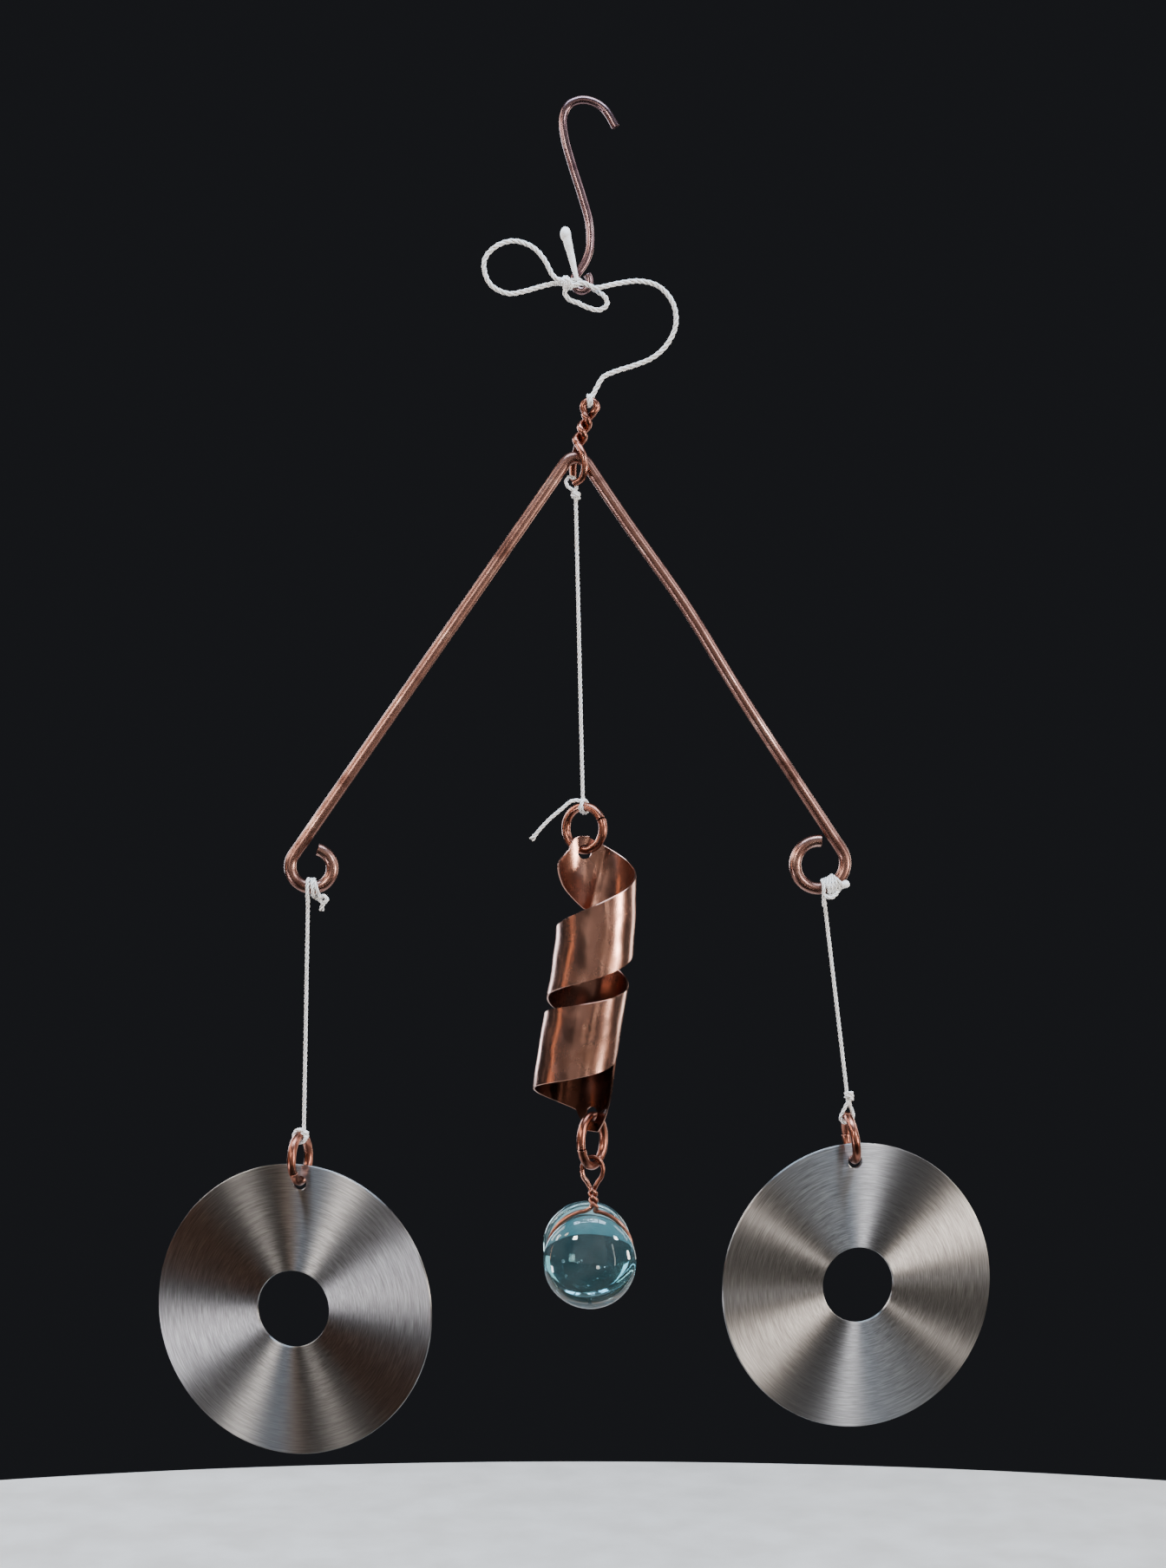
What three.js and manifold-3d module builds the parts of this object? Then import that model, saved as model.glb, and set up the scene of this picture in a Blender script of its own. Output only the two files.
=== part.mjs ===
// A hanging mobile: a copper hook, a bow-tied cord, a bent copper arm with a brushed disc at each end,
// and a wound copper strip with a pair of glass gems on the middle cord.
// Millimetres, +Z up, +X to the right, +Y away from the front.
// The origin is at the underside of the hook's bend, which is where the mobile hangs.
import * as THREE from "three";
import { mergeVertices } from "three/addons/utils/BufferGeometryUtils.js";
import Module from "manifold-3d";

const wasm = await Module();
wasm.setup();

const radians = THREE.MathUtils.degToRad;
const at = (x, y, z) => new THREE.Vector3(x, y, z);
const route = (rows) => rows.map((row) => at(...row));

// Clear space kept between pieces that touch.
const GAP = 0.3;

// Wire and cord diameters.
const HOOK_WIRE = 2.8;
const HANGER_WIRE = 2.3;
const ARM_WIRE = 4.1;
const RING_WIRE = 2.9;
const BAIL_WIRE = 1.5;
const SUSPENSION_CORD = 1.7;
const MELTED_TAIL = 2.3;
const HANGING_CORD = 1.3;

// Section sides of the wires, cords, lumps, turned pieces and drills.
const SIDES = { wire: 8, cord: 8, bail: 6, lump: 10, disc: 36, gem: 20, drill: 12 };
// Sections along each stretch.
const HOOK_STEPS = { neck: 17, eye: 11 };
const HANGER_STEPS = { eye: 6, twist: 8 };
const ARM_STEPS = { straight: 8, bend: 6, curl: 12, wraps: 4 };
const RING_STEPS = 14;
const GEM_STEPS = { rim: 2, dome: 5 };
const BAIL_STEPS = { twist: 10, round: 8, loop: 10 };
const STRAIGHT_CORD_STEPS = 8;
const CORD_DIAMETERS_PER_STEP = 2.4;

// Ceiling hook: from the tip over the bend to the neck, then round the eye.
const HOOK_NECK = [
  [12.4, 0, -7.6],
  [8.6, 0, -1.6],
  [4.3, 0, 1.0],
  [0.3, 0, HOOK_WIRE / 2],
  [-3.5, 0, -0.4],
  [-5.2, 0, -4.8],
  [-4.6, 0, -11.1],
  [-2.0, 0, -20.6],
  [1.2, 0, -30.7],
  [3.5, 0, -39.3],
  [3.7, 0, -47.7],
  [2.3, 0, -52.0],
  [0.2, 0, -55.3],
];
const HOOK_EYE = { x: 1.0, z: -58.9, halfWidth: 2.55, halfHeight: 3.2, from: 150, to: 405, forward: 1.0 };

// Twisted hanger: an eye, one and a quarter turns of twist, and a loop round the arm's bend.
const HANGER_EYE = { x: 3.75, z: -100.5, halfWidth: 2.25, halfHeight: 2.2 };
const TWIST_TOP = { x: 3.4, z: -102.4 };
const TWIST_BOTTOM = { x: -0.3, z: -113.0 };
const TWIST_TURN = 450;
const STRAND_SPACE = 0.32;
const TWIST_RADIUS = (HANGER_WIRE + STRAND_SPACE) / 2;
const HANGER_FRONT = [
  [0.4, -2.5, -114.3],
  [1.4, -3.65, -116.6],
  [2.0, -3.75, -119.5],
  [1.9, -3.3, -122.2],
  [0.8, -2.1, -124.7],
  [-1.6, -0.7, -126.0],
];
const HANGER_BACK = [
  [-0.8, 2.6, -114.5],
  [-1.5, 3.65, -116.9],
  [-1.9, 3.7, -119.6],
  [-1.9, 3.3, -122.2],
  [-1.8, 2.4, -124.2],
];

// Arm: one wire in an upright plane that is turned a little about the vertical.
const ARM_YAW = radians(5.8);
const ARM_APEX = { along: -0.87, height: -113.9 };
const ARM_BEND_RADIUS = 4.4;
// Each side has its lean from the vertical, its straight length, a slight bow, and a curl that starts wide.
const LEFT_ARM = {
  side: -1,
  lean: radians(34.55),
  length: 164.1,
  bow: { height: 0, at: 0.4, spread: 0.2 },
  curl: { radius: 6.4, flare: 1.1, sweep: radians(290) },
};
const RIGHT_ARM = {
  side: 1,
  lean: radians(33.77),
  length: 160.8,
  bow: { height: 1.25, at: 0.37, spread: 0.17 },
  curl: { radius: 8.0, flare: 1.2, sweep: radians(310) },
};
const CURL_FLARE_SHARE = 0.4;

// Rings: half sizes to the middle of the wire, the turn of the plane, and where the joint is.
const DISC_RING = { halfWidth: 7.4, halfHeight: 7.4 };
const SPIRAL_RING = { halfWidth: 7.2, halfHeight: 7.2, yaw: radians(-32), slitTurn: radians(25) };
const GLASS_RING = { halfWidth: 6.7, halfHeight: 8.2, yaw: radians(56), slitTurn: radians(195) };
const RING_SLIT = 0.3;

// Discs: outside, bore, thickness, edge chamfer, and the small hole near the rim.
const DISC_RADIUS = 47.5;
const DISC_BORE_RADIUS = 12.5;
const DISC_THICKNESS = 1.27;
const DISC_CHAMFER = 0.25;
const DISC_HOLE_RADIUS = 2.3;
const DISC_HOLE_INSET = 6.0;
const DRILL_DEPTHS = 3;

// Hangings of the two discs: the wraps on the arm's curl in degrees, the ties there, the ring and the disc.
const LEFT_HANGING = {
  wraps: { from: 246, to: 288, thickness: 1.3 },
  ties: [
    { centre: at(-84.3, -8.7, -263.4), radii: at(2.0, 1.9, 2.0) },
    { centre: at(-84.6, -8.7, -265.7), radii: at(1.1, 1.1, 1.8) },
  ],
  cordTop: at(-88.7, -9.4, -259.5),
  ring: {
    ...DISC_RING,
    centre: at(-91.4, -9.0, -348.6),
    yaw: radians(75),
    lean: 0,
    slitTurn: radians(-150),
  },
  knot: { right: 1.2, rise: 0.8, radii: at(2.3, 2.5, 3.1) },
  disc: { yaw: radians(-14), holeTurn: radians(3.2) },
};
const RIGHT_HANGING = {
  wraps: { from: -80, to: -33, thickness: 1.4 },
  ties: [
    { centre: at(84.2, 7.9, -262.0), radii: at(2.6, 2.6, 2.2) },
    { centre: at(88.2, 8.6, -259.4), radii: at(2.4, 1.2, 1.3) },
  ],
  cordTop: at(81.9, 7.9, -261.0),
  ring: {
    ...DISC_RING,
    centre: at(91.3, 8.8, -344.4),
    yaw: radians(96),
    lean: radians(-10),
    slitTurn: radians(160),
  },
  knot: { right: 0.4, rise: 4.2, radii: at(1.9, 2.1, 3.9) },
  disc: { yaw: radians(14), holeTurn: radians(-1.5) },
};
// How far, in degrees, the bored core and the cord's clearance run past the wraps.
const WRAP_MARGIN = { core: 30, clearance: 9 };

// Spiral: a strip on a leaning, slightly bent axis. Turns run down from the back, by the right, to the front.
const STRIP_RADIUS = 12.6;
const STRIP_THICKNESS = 0.6;
const STRIP_HALF_HEIGHT = 12.25;
const STRIP_TOP_ANGLE = 178;
const STRIP_BOTTOM_ANGLE = -722;
const STRIP_COLUMNS = 90;
const STRIP_HOLE_RADIUS = 2.4;
const TAB_DRILL_REACH = 3;
const SPIRAL_TOP = -238;
const SPIRAL_AXIS = [
  [6.0, -11.9, SPIRAL_TOP],
  [5.9, -11.9, -258],
  [5.2, -11.9, -278],
  [0.5, -11.9, -308],
  [-2.1, -11.9, -326],
  [-5.4, -11.9, -352],
];
const SPIRAL_MIDDLE = -276.1;
const SPIRAL_START = -8.9;
const SPIRAL_PITCH = 39.4;
const SPIRAL_TIGHTENING = 4.87;
const TOP_TAB = { angle: 109, drop: -27.9 };
const BOTTOM_TAB = { angle: -668, drop: 58.5 };
// Trimmed ends, as turn angle and drop along the axis: the notch beside each tab and the slanted cut.
const TOP_UPPER_TRIM = [
  [178, -23.6],
  [150, -27.0],
  [137, -28.9],
  [127, -32.4],
  [117, -33.2],
  [100, -33.1],
];
const TOP_LOWER_TRIM = [
  [178, -23.0],
  [150, -16.5],
  [110, -9.0],
];
const BOTTOM_LOWER_TRIM = [
  [-640, 58.0],
  [-647, 60.4],
  [-663, 64.3],
  [-685, 63.9],
  [-696, 60.3],
  [-705, 56.3],
  [-715, 51.0],
  [-722, 44.6],
];

// Glass gems and the wire between them.
const GLASS_DEPTH = -2.0;
const FRONT_GEM = { x: 3.7, z: -383.2, radius: 15.4, height: 9.6, direction: -1 };
const BACK_GEM = { x: 2.8, z: -379.0, radius: 14.7, height: 8.8, direction: 1 };
const GEM_FLAT_SHARE = 0.88;
const GEM_EDGE_SHARE = 0.3;
const BAIL_ROUND = { x: 3.7, z: -380.9, radius: 13.9 };
const BAIL_LOOP = { halfWidth: 3.45, bottom: -359.2, clearance: 0.7 };
const BAIL_TWIST_TURN = 540;
const BAIL_TWIST_FOOT = { right: 1.4, forward: 0.75, rise: 1.2 };
const BAIL_ROUND_ENDS = { top: 0.12, bottom: 0.03 };
const BAIL_LOOP_TURNS = { from: 235, to: -55 };

// Cord routes, chosen point by point from the way the cord lies.
const BOW_KNOT = { centre: at(-3.9, -2.6, -59.8), radii: at(2.1, 2.0, 2.3) };
const SUSPENSION_RUN = [
  [-3.9, -2.7, -60.6],
  [-1.4, -3.2, -60.7],
  [1.2, -3.1, -59.9],
  [3.3, -2.9, -60.6],
  [5.2, -2.4, -61.4],
  [8.6, -1.9, -60.8],
  [12.7, -1.5, -59.8],
  [20.2, -1.2, -58.9],
  [26.5, -1.0, -60.6],
  [30.8, -0.8, -65.2],
  [32.3, -0.6, -70.4],
  [31.7, -0.5, -75.3],
  [28.5, -0.4, -80.8],
  [23.9, -0.3, -84.5],
  [18.1, -0.2, -86.8],
  [11.5, -0.1, -88.9],
  [8.1, 0, -90.6],
  [6.0, 0, -94.0],
  [4.2, 0, -97.6],
];
const BOW_LOOP = [
  [-3.9, -3.1, -59.4],
  [-7.8, -3.3, -58.2],
  [-11.5, -3.2, -52.0],
  [-15.3, -3.0, -48.0],
  [-21.6, -2.6, -45.9],
  [-27.4, -2.4, -47.7],
  [-31.1, -2.3, -52.0],
  [-30.8, -2.2, -57.2],
  [-28.5, -2.1, -60.9],
  [-23.3, -2.0, -63.2],
  [-17.9, -1.9, -62.4],
  [-12.7, -1.8, -60.9],
  [-7.8, -1.7, -59.8],
  [-3.9, -2.0, -60.0],
];
const SMALL_LOOP = [
  [-4.2, -2.6, -60.6],
  [-4.5, -2.6, -63.4],
  [-2.9, -2.5, -65.4],
  [-0.1, -2.3, -66.4],
  [2.1, -2.1, -67.5],
  [6.8, -1.4, -68.5],
  [9.4, -0.6, -66.6],
  [8.8, 0.4, -63.9],
  [6.5, 1.7, -61.9],
  [4.4, 2.4, -60.5],
  [2.6, 2.2, -59.6],
  [1.1, 0.9, -59.0],
  [0.1, -1.3, -58.7],
  [-1.6, -2.1, -58.9],
  [-3.9, -2.6, -59.4],
];
const BOW_TAIL = [
  [-0.5, -2.8, -58.8],
  [-1.4, -2.8, -55.5],
  [-2.3, -2.6, -51.5],
  [-3.3, -2.4, -47.5],
  [-4.2, -2.2, -43.6],
];
const TAIL_END = { centre: at(-4.3, -2.2, -43.6), radii: at(1.8, 1.7, 2.5) };
const HANGER_TIE = { centre: at(4.0, 0, -98.0), radii: at(1.5, 2.0, 2.1) };
const HANGER_KNOT = { centre: at(-1.8, -0.4, -127.2), radii: at(2.3, 2.2, 3.6) };
const CENTRE_CORD = [
  [-1.0, -0.4, -129.0],
  [1.4, 0, -232.0],
];
const CENTRE_RING_TIE = { radii: at(1.6, 2.3, 2.4) };
const CENTRE_TAIL = [
  [1.4, -0.6, -231.2],
  [-2.3, -1.2, -231.3],
  [-5.6, -1.4, -233.9],
  [-9.2, -1.5, -236.9],
  [-12.6, -1.4, -240.4],
  [-15.6, -1.2, -244.1],
];

// Finishes.
const BRIGHT_COPPER = { color: "#b06a4c", roughness: 0.3, metalness: 1 };
const BROWN_COPPER = { color: "#7c4a3a", roughness: 0.35, metalness: 1 };
const DARK_COPPER = { color: "#5f4347", roughness: 0.4, metalness: 1 };
const BRUSHED_METAL = { color: "#8d8b88", roughness: 0.35, metalness: 1 };
const WHITE_CORD = { color: "#dedcd4", roughness: 0.9, metalness: 0 };
const CLEAR_GLASS = { color: "#7fb4b8", roughness: 0.05, metalness: 0, transparent: true, opacity: 0.5 };

// A smooth curve whose sections are paced by its points, so that a bend gets more of them than a straight.
class PacedCurve extends THREE.CatmullRomCurve3 {
  getPointAt(t, target) {
    return this.getPoint(t, target);
  }

  getTangentAt(t, target) {
    return this.getTangent(t, target);
  }
}

function roundSection(diameter, sides) {
  const corner = (i) => {
    const turn = (2 * Math.PI * i) / sides;
    return new THREE.Vector2(Math.cos(turn), Math.sin(turn)).multiplyScalar(diameter / 2);
  };
  return new THREE.Shape(Array.from({ length: sides }, (_, i) => corner(i)));
}

// A wire with one section at each point.
function wire(points, diameter, sides = SIDES.wire) {
  const extrudePath = new PacedCurve(points);
  return new THREE.ExtrudeGeometry(roundSection(diameter, sides), { steps: points.length - 1, extrudePath });
}

// A cord with evenly spaced sections, grown by a clearance where it is used as a cutter.
function cord(points, diameter, clearance = 0) {
  const extrudePath = new THREE.CatmullRomCurve3(points);
  const steps = Math.round(extrudePath.getLength() / (CORD_DIAMETERS_PER_STEP * diameter));
  const section = roundSection(diameter + 2 * clearance, SIDES.cord);
  return new THREE.ExtrudeGeometry(section, { steps, extrudePath });
}

// A cord pulled straight between two points.
function straightCord(from, to, diameter) {
  const extrudePath = new THREE.LineCurve3(from, to);
  const steps = STRAIGHT_CORD_STEPS;
  return new THREE.ExtrudeGeometry(roundSection(diameter, SIDES.cord), { steps, extrudePath });
}

// A rounded lump, such as a pulled-tight knot.
function lump({ centre, radii }, grow = 0) {
  return new THREE.SphereGeometry(1, SIDES.lump, SIDES.lump / 2)
    .scale(radii.x + grow, radii.y + grow, radii.z + grow)
    .translate(centre.x, centre.y, centre.z);
}

function solidOf(geometry) {
  const bare = geometry.clone();
  bare.deleteAttribute("normal");
  bare.deleteAttribute("uv");
  const merged = mergeVertices(bare, 1e-4);
  const vertProperties = merged.getAttribute("position").array;
  return new wasm.Manifold(new wasm.Mesh({ numProp: 3, vertProperties, triVerts: merged.index.array }));
}

function geometryOf(solid) {
  const { vertProperties, triVerts } = solid.getMesh();
  return new THREE.BufferGeometry()
    .setAttribute("position", new THREE.BufferAttribute(vertProperties, 3))
    .setIndex(new THREE.BufferAttribute(triVerts, 1));
}

// A geometry with others joined to it and then others cut out of it.
function shaped(base, { join = [], cut = [] }) {
  const joined = join.reduce((solid, other) => solid.add(solidOf(other)), solidOf(base));
  return geometryOf(cut.reduce((solid, other) => solid.subtract(solidOf(other)), joined));
}

const mobile = new THREE.Group();

function piece(name, geometry, finish) {
  const mesh = new THREE.Mesh(geometry, new THREE.MeshStandardMaterial(finish));
  mesh.name = name;
  mobile.add(mesh);
  return mesh;
}

const { lerp, smoothstep } = THREE.MathUtils;
const series = (count, make) => Array.from({ length: count + 1 }, (_, i) => make(i / count));

// The value of a broken line at a turn angle, for lines whose angles run downwards.
function along(line, angle) {
  const next = line.findIndex(([turn]) => turn <= angle);
  if (next <= 0) {
    return line.at(next < 0 ? -1 : 0)[1];
  }
  const [[fromTurn, fromDrop], [toTurn, toDrop]] = [line[next - 1], line[next]];
  return lerp(fromDrop, toDrop, (fromTurn - angle) / (fromTurn - toTurn));
}

// Ceiling hook
function hookPath() {
  const { x, z, halfWidth, halfHeight, from, to, forward } = HOOK_EYE;
  const eye = series(HOOK_STEPS.eye, (t) => {
    const turn = radians(lerp(from, to, t));
    return at(x + halfWidth * Math.cos(turn), -forward * t, z + halfHeight * Math.sin(turn));
  });
  const neck = new THREE.CatmullRomCurve3(route(HOOK_NECK)).getPoints(HOOK_STEPS.neck);
  return [...neck, ...eye];
}

const hookWire = hookPath();
piece("ceiling_hook", wire(hookWire, HOOK_WIRE), DARK_COPPER);
const roundTheHook = wire(hookWire, HOOK_WIRE + 2 * GAP);

// Twisted hanger
function hangerPath() {
  const strand = (phase) =>
    series(HANGER_STEPS.twist, (t) => {
      const turn = radians(phase - TWIST_TURN * t);
      const x = lerp(TWIST_TOP.x, TWIST_BOTTOM.x, t) + TWIST_RADIUS * Math.cos(turn);
      return at(x, -TWIST_RADIUS * Math.sin(turn), lerp(TWIST_TOP.z, TWIST_BOTTOM.z, t));
    });
  const { x, z, halfWidth, halfHeight } = HANGER_EYE;
  const eye = series(HANGER_STEPS.eye, (t) => {
    const turn = Math.PI * (1 - t);
    return at(x + halfWidth * Math.cos(turn), 0, z + halfHeight * Math.sin(turn));
  });
  const front = [...strand(180), ...route(HANGER_FRONT)].reverse();
  const back = [...strand(0), ...route(HANGER_BACK)];
  return [...front, ...eye, ...back];
}

const hangerWire = hangerPath();
piece("twist_hanger", wire(hangerWire, HANGER_WIRE), BRIGHT_COPPER);
const roundTheHanger = wire(hangerWire, HANGER_WIRE + 2 * GAP);

// Arm
const inArmPlane = (u, height) => at(u * Math.cos(ARM_YAW), u * Math.sin(ARM_YAW), height);

function armSide({ side, lean, length, bow, curl }) {
  const apex = new THREE.Vector2(ARM_APEX.along, ARM_APEX.height);
  const down = new THREE.Vector2(side * Math.sin(lean), -Math.cos(lean));
  const inward = new THREE.Vector2(-side * Math.cos(lean), -Math.sin(lean));
  const setback = ARM_BEND_RADIUS / Math.tan((LEFT_ARM.lean + RIGHT_ARM.lean) / 2);
  const onArm = (distance) => apex.clone().addScaledVector(down, distance);
  const straight = series(ARM_STEPS.straight, (t) => {
    const outward = bow.height * Math.exp(-(((t - bow.at) / bow.spread) ** 2));
    return onArm(lerp(setback, length, t)).addScaledVector(inward, -outward);
  });
  const bendCentre = onArm(setback).addScaledVector(inward, ARM_BEND_RADIUS);
  const curlCentre = onArm(length).addScaledVector(inward, curl.radius + curl.flare);
  const firstTurn = Math.atan2(-inward.y, -inward.x);
  const onCurl = (turn) => {
    const share = (side * (firstTurn - turn)) / curl.sweep;
    const radius = curl.radius + curl.flare * (1 - smoothstep(share, 0, CURL_FLARE_SHARE));
    return curlCentre.clone().add(new THREE.Vector2(Math.cos(turn), Math.sin(turn)).multiplyScalar(radius));
  };
  const curlPath = series(ARM_STEPS.curl, (t) => onCurl(firstTurn - side * curl.sweep * t)).slice(1);
  return { straight, bendCentre, firstTurn, curlPath, onCurl };
}

const leftArm = armSide(LEFT_ARM);
const rightArm = armSide(RIGHT_ARM);

function armPath() {
  const bend = series(ARM_STEPS.bend, (t) => {
    const turn = lerp(leftArm.firstTurn, rightArm.firstTurn, t);
    const offset = new THREE.Vector2(Math.cos(turn), Math.sin(turn)).multiplyScalar(ARM_BEND_RADIUS);
    return leftArm.bendCentre.clone().add(offset);
  }).slice(1, -1);
  const left = [...leftArm.straight, ...leftArm.curlPath].reverse();
  const right = [...rightArm.straight, ...rightArm.curlPath];
  return [...left, ...bend, ...right].map(({ x, y }) => inArmPlane(x, y));
}

piece("arm_wire", wire(armPath(), ARM_WIRE), BROWN_COPPER);

// Rings
function ringGeometry(halfWidth, halfHeight, slitTurn, diameter = RING_WIRE) {
  const slit = RING_SLIT / (2 * halfHeight);
  const points = series(RING_STEPS, (t) => {
    const turn = slitTurn + lerp(slit, 2 * Math.PI - slit, t);
    return at(halfWidth * Math.cos(turn), 0, halfHeight * Math.sin(turn));
  });
  return wire(points, diameter);
}

// A ring placed by its centre, the turn of its plane about the vertical, and its lean to the side.
function ring(name, { halfWidth, halfHeight, centre, yaw, lean = 0, slitTurn }) {
  const mesh = piece(name, ringGeometry(halfWidth, halfHeight, slitTurn), BRIGHT_COPPER);
  mesh.position.copy(centre);
  mesh.rotation.set(0, lean, yaw);
  mesh.updateMatrix();
  const onRing = (turn) =>
    at(halfWidth * Math.cos(turn), 0, halfHeight * Math.sin(turn)).applyMatrix4(mesh.matrix);
  const around = ringGeometry(halfWidth, halfHeight, slitTurn, RING_WIRE + 2 * GAP).applyMatrix4(mesh.matrix);
  return { top: onRing(Math.PI / 2), bottom: onRing(-Math.PI / 2), around };
}

// How far a ring's wire sits from the middle of the hole that hangs on it.
const seat = (holeRadius) => holeRadius - GAP - RING_WIRE / 2;

// Discs
function discProfile() {
  const half = DISC_THICKNESS / 2;
  const inset = half - DISC_CHAMFER;
  const corners = [
    [DISC_BORE_RADIUS + DISC_CHAMFER, -half],
    [DISC_RADIUS - DISC_CHAMFER, -half],
    [DISC_RADIUS, -inset],
    [DISC_RADIUS, inset],
    [DISC_RADIUS - DISC_CHAMFER, half],
    [DISC_BORE_RADIUS + DISC_CHAMFER, half],
    [DISC_BORE_RADIUS, inset],
    [DISC_BORE_RADIUS, -inset],
  ];
  return [...corners, corners[0]].map(([x, y]) => new THREE.Vector2(x, y));
}

// A disc that hangs on a ring by its small hole.
function disc(name, hangingRing, { yaw, holeTurn }) {
  const hole = at(0, 0, DISC_RADIUS - DISC_HOLE_INSET).applyAxisAngle(at(0, 1, 0), holeTurn);
  const depth = DRILL_DEPTHS * DISC_THICKNESS;
  const drill = new THREE.CylinderGeometry(DISC_HOLE_RADIUS, DISC_HOLE_RADIUS, depth, SIDES.drill);
  drill.translate(hole.x, hole.y, hole.z);
  const turned = new THREE.LatheGeometry(discProfile(), SIDES.disc);
  const mesh = piece(name, shaped(turned, { cut: [drill] }), BRUSHED_METAL);
  const hung = hangingRing.bottom.clone().add(at(0, 0, -seat(DISC_HOLE_RADIUS)));
  mesh.rotation.z = yaw;
  mesh.position.copy(hung.sub(hole.applyAxisAngle(at(0, 0, 1), yaw)));
}

// One disc with its ring, its cord and the cord's two ties.
function discHanging(side, arm, hanging) {
  const { wraps, ties, cordTop } = hanging;
  const hung = ring(`${side}_disc_ring`, hanging.ring);
  disc(`${side}_disc`, hung, hanging.disc);
  const sleeve = (margin, clearance) => {
    const turns = series(ARM_STEPS.wraps, (t) => radians(lerp(wraps.from - margin, wraps.to + margin, t)));
    const points = turns.map(arm.onCurl).map(({ x, y }) => inArmPlane(x, y));
    return wire(points, ARM_WIRE + 2 * clearance);
  };
  const core = sleeve(WRAP_MARGIN.core, GAP);
  const wound = sleeve(0, GAP + wraps.thickness);
  const join = ties.map((tie) => lump(tie));
  piece(`${side}_cord_curl_wraps`, shaped(wound, { join, cut: [core] }), WHITE_CORD);
  const { right, rise, radii } = hanging.knot;
  const knot = { centre: hung.top.clone().add(at(right, 0, rise)), radii };
  piece(`${side}_cord_ring_knot`, shaped(lump(knot), { cut: [hung.around] }), WHITE_CORD);
  const run = straightCord(cordTop, knot.centre, HANGING_CORD);
  const roundTheWraps = sleeve(WRAP_MARGIN.clearance, 2 * GAP + wraps.thickness);
  const cut = [roundTheWraps, ...[...ties, knot].map((tie) => lump(tie, GAP))];
  piece(`${side}_cord`, shaped(run, { cut }), WHITE_CORD);
}

discHanging("left", leftArm, LEFT_HANGING);
discHanging("right", rightArm, RIGHT_HANGING);

// Copper spiral
const spiralAxis = new THREE.CatmullRomCurve3(route(SPIRAL_AXIS));
const spiralLength = spiralAxis.getLength();

// A point of the strip from its turn angle, its drop along the axis and its distance from the strip's middle.
function onSpiral(angle, drop, outward = 0) {
  const share = (drop + SPIRAL_TOP - SPIRAL_MIDDLE) / spiralLength;
  const middle = spiralAxis.getPointAt(share);
  const down = spiralAxis.getTangentAt(share);
  const right = at(-down.z, 0, down.x);
  const turn = radians(angle);
  return middle
    .addScaledVector(right, (STRIP_RADIUS + outward) * Math.cos(turn))
    .add(at(0, (STRIP_RADIUS + outward) * Math.sin(turn), 0));
}

function stripEdges(angle) {
  const turns = -angle / 360;
  const centre = SPIRAL_START + SPIRAL_PITCH * turns - SPIRAL_TIGHTENING * turns * turns;
  const atTop = angle > TOP_LOWER_TRIM.at(-1)[0];
  const atBottom = angle < BOTTOM_LOWER_TRIM[0][0];
  const upper = angle > TOP_UPPER_TRIM.at(-1)[0] ? along(TOP_UPPER_TRIM, angle) : centre - STRIP_HALF_HEIGHT;
  const lowerTrim = atTop ? TOP_LOWER_TRIM : BOTTOM_LOWER_TRIM;
  const lower = atTop || atBottom ? along(lowerTrim, angle) : centre + STRIP_HALF_HEIGHT;
  return { upper, lower };
}

function spiralStrip() {
  const strip = new THREE.BoxGeometry(1, 1, 1, STRIP_COLUMNS, 1, 1);
  const position = strip.getAttribute("position");
  for (let i = 0; i < position.count; i++) {
    const angle = lerp(STRIP_TOP_ANGLE, STRIP_BOTTOM_ANGLE, position.getX(i) + 0.5);
    const { upper, lower } = stripEdges(angle);
    const drop = lerp(lower, upper, position.getY(i) + 0.5);
    const point = onSpiral(angle, drop, -STRIP_THICKNESS * position.getZ(i));
    position.setXYZ(i, point.x, point.y, point.z);
  }
  return strip;
}

// A round drill through the strip at a tab.
function tabDrill({ angle, drop }) {
  const inside = onSpiral(angle, drop, -TAB_DRILL_REACH);
  const outside = onSpiral(angle, drop, TAB_DRILL_REACH);
  const depth = 2 * TAB_DRILL_REACH;
  const drill = new THREE.CylinderGeometry(STRIP_HOLE_RADIUS, STRIP_HOLE_RADIUS, depth, SIDES.drill);
  const outward = outside.clone().sub(inside).normalize();
  const turn = new THREE.Quaternion().setFromUnitVectors(at(0, 1, 0), outward);
  const middle = inside.lerp(outside, 0.5);
  return drill.applyQuaternion(turn).translate(middle.x, middle.y, middle.z);
}

const topHole = onSpiral(TOP_TAB.angle, TOP_TAB.drop);
const bottomHole = onSpiral(BOTTOM_TAB.angle, BOTTOM_TAB.drop);
const spiralRing = ring("spiral_ring", {
  ...SPIRAL_RING,
  centre: topHole.clone().add(at(0, 0, seat(STRIP_HOLE_RADIUS) + SPIRAL_RING.halfHeight)),
});
const glassRing = ring("glass_link_ring", {
  ...GLASS_RING,
  centre: bottomHole.clone().add(at(0, 0, -seat(STRIP_HOLE_RADIUS) - GLASS_RING.halfHeight)),
});
const tabHoles = [tabDrill(TOP_TAB), tabDrill(BOTTOM_TAB), spiralRing.around, glassRing.around];
piece("copper_spiral", shaped(spiralStrip(), { cut: tabHoles }), BRIGHT_COPPER);

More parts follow.
